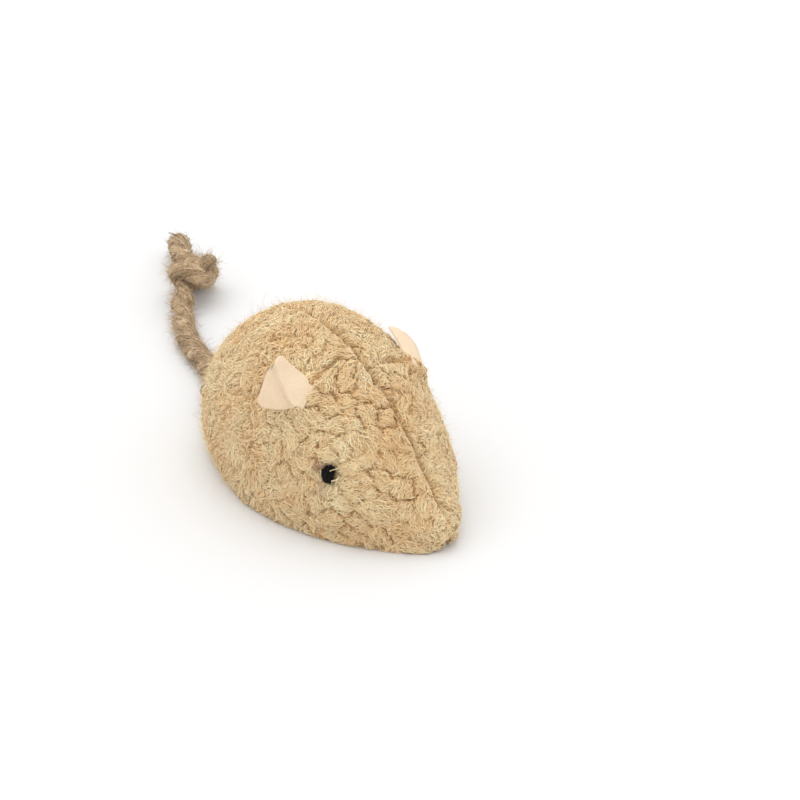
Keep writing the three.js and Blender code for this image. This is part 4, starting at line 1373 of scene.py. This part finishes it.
stain = np.zeros(PILE)
left_out = np.zeros(PILE, bool)
for name in EAR:
    eye, eye_normal, rise = eyes[name]
    back = unit(np.cross(rise, eye_normal) * EAR[name]["side"])
    offset = paths - eye
    across_eye, over_eye = offset @ back * 2 / EYE_WIDTH, offset @ rise * 2 / EYE_HEIGHT
    from_middle = np.hypot(across_eye, over_eye).min(1)
    in_front = (strand_middle - eye) @ back < -EYE_WIDTH / 5
    near_eye = np.abs((strand_middle - eye) @ eye_normal) < NEAR_EYE
    laps = in_front & (rng.uniform(0, 1, PILE) < LAP_SHARE) & near_eye
    laps &= (from_middle < LAP_ENDS) & (from_middle > FRONT_LAP)
    on_bead = np.sqrt(np.maximum(1 - across_eye[laps] ** 2 - over_eye[laps] ** 2, 0))
    lift = np.maximum(LAP_HEIGHT + EYE_DEPTH / 2 * on_bead - offset[laps] @ eye_normal, 0)
    paths[laps] += lift[..., None] * eye_normal
    left_out |= (from_middle < np.where(in_front, FRONT_LAP, 1)) & near_eye
    for behind, above, strength in STAIN_SPOTS:
        from_spot = np.linalg.norm(strand_middle - (eye + back * behind + rise * above), axis=1)
        stain = np.maximum(stain, strength * bell(from_spot, STAIN_WIDTH))
pile_stain = stain * rng.uniform(0, 1, PILE) ** STAIN_EVENNESS


def pile_piece(name, chosen):
    """The chosen fibres as one piece."""
    piece = strand_piece(name, paths[chosen], pile_radius[chosen][:, None], facing[chosen],
                         flatness=PILE_FLATNESS, tone=pile_tone[chosen], stain=pile_stain[chosen][:, None])
    dress(piece, CURL, body="mouse")
    print(name + ":", chosen.sum(), "fibres,", len(piece.data.polygons), "faces")


root_girth = one_turn(chart[1][:, 0])
on_belly = np.abs(root_girth) < BELLY_EDGE
for name, ear in EAR.items():
    for band, (low, high) in BANDS.items():
        in_band = (strand_middle[:, 1] >= low) & (strand_middle[:, 1] < high)
        pile_piece(f"{name}_{band}_pile", ~left_out & ~on_belly & (ear["side"] * root_girth > 0) & in_band)
rubbed_off = (np.abs(root_girth) < RUBBED_EDGE) & (np.arange(PILE) % 3 > 0)
pile_piece("belly_pile", ~left_out & on_belly & ~rubbed_off)

# %% [markdown]
# ## Fuzz
# Single fibres stand out of any worn pile, and a few are longer than the rest. They are what makes the
# outline soft, so they are drawn as real hairs, much thinner than the curls.

# %% Fuzz
STRAY_HAIRS = 18000
STRAY_STEPS = 4
STRAY_LENGTH = (0.7, 2.1)
STRAY_RADIUS = 0.032
STRAY_TONES = (0.7, 1)
STRAY_ROOT = 0.5
STRAY_UP = 0.75
STRAY_ASTRAY = 0.6
STRAY_FROM = 1.1
LONG_SHARE = 0.01
LONG_TIMES = 1.7


def stray_hairs():
    """Hairs all over the skin but the belly, rooted under the surface; with the skin points they stand
    on."""
    station, girth = scatter(STRAY_HAIRS)
    upper = np.abs(one_turn(girth)) > STRAY_FROM
    station, girth = station[upper], girth[upper]
    point, normal, _, _ = skin_frame(station, girth)
    count = len(point)
    roots = point - normal * (STRAY_ROOT + drawn_in(station, girth, point)[0])[:, None]
    ways = unit(STRAY_UP * normal + rng.normal(0, STRAY_ASTRAY, (count, 3)))
    longer = np.where(rng.uniform(0, 1, count) < LONG_SHARE, LONG_TIMES, 1)
    length = longer * rng.uniform(*STRAY_LENGTH, count)
    bend = longer * rng.normal(0, HAIR_BEND, count)
    hair_paths, radius = hairs(roots, ways, length, STRAY_STEPS, bend, longer * STRAY_RADIUS)
    hair_paths[..., 2] = np.maximum(hair_paths[..., 2], PILE_LOWEST)
    return point, hair_paths, radius


stray_points, stray_paths, stray_radius = stray_hairs()
stray_facing = any_way(len(stray_paths))
stray_tone = rng.uniform(*STRAY_TONES, (len(stray_paths), 1))
for name, ear in EAR.items():
    chosen = ear["side"] * stray_points[:, 0] > 0
    stray = strand_piece(f"{name}_fuzz", stray_paths[chosen], stray_radius[chosen], stray_facing[chosen],
                         tone=stray_tone[chosen], stain=0)
    dress(stray, CURL, body="mouse")
print("fuzz:", len(stray_paths), "hairs")

# %% [markdown]
# ## Ears
# Each ear is a leaf of pale felt, wider at the top, folded once so that one half laps over the other, and
# sewn into its dart. The leaf is a loop round the felt's thickness, carried from the hinge to the tip: a
# squarish loop gives flat faces with a rounded edge, and the fold is a step along a slanting line.

# %% Ears
EAR_HEIGHT = 9.6
EAR_HALF = (3.0, 6.1)
EAR_CURL = {"left": 1.6, "right": 0}
EAR_TWIST = {"left": 0.35, "right": 0}
TWIST_POWER = 0.3
EAR_RIPPLE = 0.12
RIPPLE_PACE = (0.9, 5)
EAR_SHIFT = 0.55
EAR_SHIFTED_BY = 0.45
EAR_BURIED = 0.16
EAR_LIFT = 0.5
EAR_TONE = 0.55
FELT_THICK = 1.2
FELT_EDGE = 0.07
ACROSS_POWER = 0.7
THROUGH_POWER = 0.4
FOLD_LINE = (-1.0, 0.45)
FOLD_STEP = {"left": 0.3, "right": 1.2}
FOLD_SHARP = 0.22
FOLD_REACH = 5
# Painted light and shade across the fold: the half that laps over is painted paler, the half under it darker.
FOLD_PAINTED_LIGHT_AND_SHADE = (0.12, 0.4)
WING_ROUND = 0.6
WING_REACH = 6
WING_POWER = 1.2
WING_FALL = {"left": 0, "right": 1.5}
OUTER_SHARE = {"left": 0.65, "right": 1}
OUTER_FLARE = 0.9
OUTER_DROP = 0.28
OUTER_CORNER = (2.4, 0.26)
INNER_CORNER = (1.5, 0.14)
EAR_GRID = (60, 120)


def squarish(wave, power):
    """A wave with its sign kept and its size raised to a power, which makes a circle squarish."""
    return np.sign(wave) * np.abs(wave) ** power


def corner_cut(up_share, size, part):
    """How far a rounded corner draws in the edge over the top part of the leaf: a quarter circle."""
    return size * (1 - np.sqrt(1 - np.clip((up_share - (1 - part)) / part, 0, 1) ** 2))


def ear_leaf(name):
    """Leaf points: across the hinge by the half width, out by the height, and off the middle plane by the
    sum of the fold's step, the fall of both wings away from it, a ripple, less twist and curl, and half the
    felt's thickness."""
    hinge, along, leaf, facing_way = ear_axes(name)
    outwards = np.linspace(-EAR_BURIED, 1, EAR_GRID[0])[:, None]
    loop = np.linspace(0, 2 * np.pi, EAR_GRID[1], endpoint=False)[None]
    across, through = squarish(np.cos(loop), ACROSS_POWER), squarish(np.sin(loop), THROUGH_POWER)
    up_share = np.clip(outwards, 0, 1)
    half = EAR_HALF[0] + (EAR_HALF[1] - EAR_HALF[0]) * up_share**0.5
    inner = half - corner_cut(up_share, *INNER_CORNER)
    outer = OUTER_SHARE[name] * (half + OUTER_FLARE * up_share - corner_cut(up_share, *OUTER_CORNER))
    shift = EAR_SHIFT * np.clip(up_share / EAR_SHIFTED_BY, 0, 1)
    sideways = np.where(across > 0, inner, outer) * across - shift
    from_fold = sideways - half * (FOLD_LINE[0] + (FOLD_LINE[1] - FOLD_LINE[0]) * up_share)
    lap = FOLD_STEP[name] * (0.5 + 0.5 * np.tanh(from_fold / FOLD_SHARP))
    lap = lap * np.exp(-np.maximum(from_fold, 0) / FOLD_REACH)
    wings = -WING_FALL[name] * up_share * (np.sqrt(from_fold**2 + WING_ROUND) / WING_REACH) ** WING_POWER
    at_tip = np.clip((up_share - (1 - FELT_EDGE)) / FELT_EDGE, 0, 1)
    edge = np.sqrt(np.clip(1 - at_tip**2, 0.01, 1))
    waviness = EAR_RIPPLE * np.sin(RIPPLE_PACE[0] * sideways + RIPPLE_PACE[1] * up_share) * up_share
    twist = EAR_TWIST[name] * np.maximum(sideways, 0) * up_share**TWIST_POWER
    depth = lap + wings + waviness - twist - EAR_CURL[name] * up_share**2 + FELT_THICK / 2 * through * edge
    height = EAR_HEIGHT * outwards - OUTER_DROP * np.maximum(-sideways, 0) * up_share + EAR_LIFT
    points = hinge + along * sideways[..., None] + leaf * height[..., None] + facing_way * depth[..., None]
    # The tone steps across the fold line: painted light on the lapping half, painted shade on the half under
    # it.
    return points, EAR_TONE + FOLD_PAINTED_LIGHT_AND_SHADE[0] * np.tanh(from_fold / FOLD_PAINTED_LIGHT_AND_SHADE[1])


for name in EAR:
    hinge, along, leaf, facing_way = ear_axes(name)
    turned = np.cross(along, facing_way) @ leaf > 0
    ear_piece = tube_piece(f"{name}_ear_felt", *ear_leaf(name), turned)
    dress(ear_piece, FELT, [f"{name}_ear"])
    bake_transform(ear_piece)
    print(name, "ear:", len(ear_piece.data.polygons), "faces")

# %% [markdown]
# ## Sewing thread
# All thread here is two plies twisted together. A line becomes two lines that wind round it, and both are
# swept as strands. The eye is the same thread, laid over and over in one place until it makes a bead.

# %% Sewing thread
PLY_TURN = 2.24
PLY_APART = 0.25
PLY_THICK = 0.27
PLY_SIDES = 6
PLY_FACING = (0.36, 0.48, 0.8)
SEAM_THREAD = 0.8
SEAM_POINTS = 420
SEAM_STITCHES = 26
STITCH_WAVE = 0.3
BACK_SEAM = (0.06, 0.93, 1.5)
BELLY_SEAM = (0.08, 0.92, 1.2)
DART_POINTS = 60
DART_START = 12
DART_WAVE = 0.25
DART_WAVES_END = 30
DART_SUNK = 1.4
CLOSING_THREAD = 0.7
CLOSING_STITCHES = 7
CLOSING_SPAN = (-17, 4)
CLOSING_SWAY = 0.16
CLOSING_WAVE = 0.25
CLOSING_SUNK = 1.0
LONG_POINTS = 160
WHIP_TURNS = 4
WHIP_POINTS = 220


def two_ply(lines, diameter):
    """For each line, two lines that wind round it at a quarter of the diameter, half a turn apart."""
    plies = []
    for line in lines:
        _, side, up = carried_frame(line)
        along = distances(line)[:, None]
        for start in (0, np.pi):
            angle = 2 * np.pi * along / (PLY_TURN * diameter) + start
            plies.append(line + PLY_APART * diameter * (np.cos(angle) * side + np.sin(angle) * up))
    return np.stack(plies)


def sewn(name, lines, diameter, material, nodes):
    """Thread pieces along lines of equal point count."""
    plies = two_ply(lines, diameter)
    across = np.broadcast_to(PLY_FACING, (len(plies), 3))
    piece = strand_piece(name, plies, PLY_THICK * diameter, across, PLY_SIDES)
    return dress(piece, material, nodes, "mouse")


def tan_sewn(name, line, node):
    """One line of the tan seam thread."""
    return sewn(name, [line], SEAM_THREAD, TAN_THREAD, [node])


def on_skin(station, girth, height):
    """A line at a height over the skin."""
    point, normal, _, _ = skin_frame(station, girth)
    return point + normal * np.broadcast_to(height, len(point))[:, None]


def stations_between(low, high):
    """Even steps between two shares of the body's length, as stations."""
    return station_at(BODY_LENGTH * (np.linspace(low, high, SEAM_POINTS) - 0.5))


def solid_box(node):
    """Low and high corner of a solid of the frame, in millimetres."""
    return (np.array(corner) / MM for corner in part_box(node))


def closing_line():
    """A zigzag along the right belly seam, which rises and sinks once a stitch."""
    stitch = np.linspace(0, CLOSING_STITCHES, LONG_POINTS)
    station = station_at(np.linspace(*CLOSING_SPAN, LONG_POINTS))
    sway = 2 * np.abs((stitch % 1) - 0.5) - 0.5
    girth = -(belly_seam_girth(station) + CLOSING_SWAY * sway)
    return on_skin(station, girth, -CLOSING_SUNK + CLOSING_WAVE * np.cos(2 * np.pi * stitch))


def through_head():
    """A straight line through the head along the frame's eye thread."""
    low, high = solid_box("eye_thread")
    _, y, z = (low + high) / 2
    return np.linspace([low[0], y, z], [high[0], y, z], LONG_POINTS)


def whipping_line():
    """A coil round the tail's root, one thread's width on at each turn."""
    low, high = solid_box("tail_whipping")
    angle = np.linspace(0, 2 * np.pi * WHIP_TURNS, WHIP_POINTS)
    radius = (high[0] - low[0] - SEAM_THREAD) / 2
    y = (low[1] + high[1]) / 2 + SEAM_THREAD * (angle / (2 * np.pi) - WHIP_TURNS / 2)
    return np.stack([radius * np.cos(angle), y, PIVOT[2] + radius * np.sin(angle)], 1)


stitch_wave = STITCH_WAVE * np.sin(np.linspace(0, 2 * np.pi * SEAM_STITCHES, SEAM_POINTS))
back_start, back_end, back_sunk = BACK_SEAM
back_station = stations_between(back_start, back_end)
back_line = on_skin(back_station, np.full(SEAM_POINTS, 3.0), stitch_wave - back_sunk)
tan_sewn("back_seam_stitching", back_line, "back_seam_thread")
belly_start, belly_end, belly_sunk = BELLY_SEAM
belly_station = stations_between(belly_start, belly_end)
dart_wave = DART_WAVE * np.sin(np.linspace(0, DART_WAVES_END, DART_POINTS)) - DART_SUNK
for name, ear in EAR.items():
    seam = on_skin(belly_station, ear["side"] * belly_seam_girth(belly_station), stitch_wave - belly_sunk)
    tan_sewn(f"{name}_belly_stitching", seam, f"{name}_belly_seam_thread")
    dart_angle = np.linspace(ear_angle(name) + DART_START, DART_TOP, DART_POINTS)
    dart = on_skin(np.full(DART_POINTS, station_at(ear["y"])), ear["side"] * (2 + dart_angle / 90), dart_wave)
    tan_sewn(f"{name}_dart_stitching", dart, f"{name}_dart_thread")
sewn("closing_stitches", [closing_line()], CLOSING_THREAD, BROWN_THREAD, ["closing_stitch"])
sewn("eye_holding_thread", [through_head()], SEAM_THREAD, BLACK_THREAD, ["eye_thread"])
tan_sewn("tail_whipping_turns", whipping_line(), "tail_whipping")
print("thread: seams, darts, closing stitch, eye thread and whipping")

# %% [markdown]
# ## Eyes
# Each eye is a bead of black thread, sewn through the head and pulled tight so that it sits in a dimple.
# Two layers of arcs run over the bead from below to above, each with its own small lean.

# %% Eyes
EYE_LAYERS = ((7, 0.75), (9, 1.0))
EYE_THREAD = 0.66
ARC_SWING = 1.9
ARC_POINTS = 26
ARC_PLACES = 0.85
ARC_SUNK = 0.3
ARC_PROUD = 0.1
ARC_ASTRAY = 0.03
ARC_LEAN = 0.1
ARC_FARTHEST = 0.96


def eye_arcs(name):
    """Arcs over the bead: each stays at its own place across, and goes from below over the front to
    above."""
    point, normal, rise = eyes[name]
    lateral = np.cross(rise, normal)
    swing = np.linspace(-ARC_SWING, ARC_SWING, ARC_POINTS)[:, None]
    arcs = []
    for count, size in EYE_LAYERS:
        for place in np.linspace(-ARC_PLACES, ARC_PLACES, count):
            place = place + rng.normal(0, ARC_ASTRAY)
            lean = rng.normal(0, ARC_LEAN) * (1 - place**2)
            girth = size * np.sqrt(1 - min(place**2, ARC_FARTHEST))
            sideways = size * EYE_WIDTH / 2 * place + lean * np.sin(swing) * EYE_HEIGHT / 2
            upwards = (EYE_HEIGHT / 2 - ARC_SUNK) * girth * np.sin(swing)
            outwards = (EYE_DEPTH / 2 + ARC_PROUD) * girth * np.cos(swing) - ARC_SUNK
            arcs.append(point + sideways * lateral + upwards * rise + outwards * normal)
    return arcs


for name in EAR:
    sewn(f"{name}_eye_bead", eye_arcs(name), EYE_THREAD, BLACK_THREAD, [f"{name}_eye"])
    print(name, "eye:", sum(count for count, _ in EYE_LAYERS), "turns of thread")

# %% [markdown]
# ## Inside
# The stuffing, the herb and the ears' feet are hidden, but they are there when the mouse is opened. Their
# solids in the frame already have the right room, so each is a copy of its solid with its points merged,
# cut finer, and made lumpy by a sum of sines along the surface's normal.

# %% Inside
FILL_LUMPS = dict(cuts=2, lump=0.5, size=1.6)
HERB_LUMPS = dict(cuts=3, lump=0.9, size=0.9)
FOOT_LUMPS = dict(cuts=3, lump=0.12, size=0.8)
LUMP_WAVES = ((2.1, 1.3, 0.7), (-0.9, 1.7, 2.3), (1.1, -2.2, 1.6))


def lumpy(name, node, cuts, lump, size):
    """A finer copy of a solid whose points move in along the normal by sines of their place."""
    form = bmesh.new()
    form.from_mesh(frame["nodes"][node].data)
    bmesh.ops.remove_doubles(form, verts=form.verts, dist=1e-6)
    bmesh.ops.subdivide_edges(form, edges=form.edges, cuts=cuts, use_grid_fill=True)
    bmesh.ops.triangulate(form, faces=form.faces)
    form.normal_update()
    mesh = bpy.data.meshes.new(name)
    form.to_mesh(mesh)
    form.free()
    points = np.empty(3 * len(mesh.vertices), np.float32)
    normals = points.copy()
    mesh.vertices.foreach_get("co", points)
    mesh.vertices.foreach_get("normal", normals)
    place = points.reshape(-1, 3) / MM / size
    waves = np.sin(place @ np.transpose(LUMP_WAVES) + np.arange(len(LUMP_WAVES))).sum(1)
    points -= (normals.reshape(-1, 3) * (lump * MM * (0.5 + waves / 6))[:, None]).ravel()
    mesh.vertices.foreach_set("co", points)
    mesh.polygons.foreach_set("use_smooth", np.ones(len(mesh.polygons), bool))
    tones = mesh.attributes.new("tone", "FLOAT", "POINT")
    tones.data.foreach_set("value", np.full(len(mesh.vertices), MIDDLE_TONE, np.float32))
    mesh.update()
    return place_mesh(name, mesh)


for node in ("head_stuffing", "body_stuffing"):
    dress(lumpy(node.replace("stuffing", "fill"), node, **FILL_LUMPS), FILL, [node], "mouse")
dress(lumpy("catnip_wad", "dried_catnip", **HERB_LUMPS), HERB, ["dried_catnip"], "mouse")
for name in EAR:
    node = f"{name}_ear_foot"
    dress(lumpy(f"{name}_ear_tab", node, **FOOT_LUMPS), FELT, [node], "mouse")
print("inside: two wads of fill, the herb and the ears' feet")
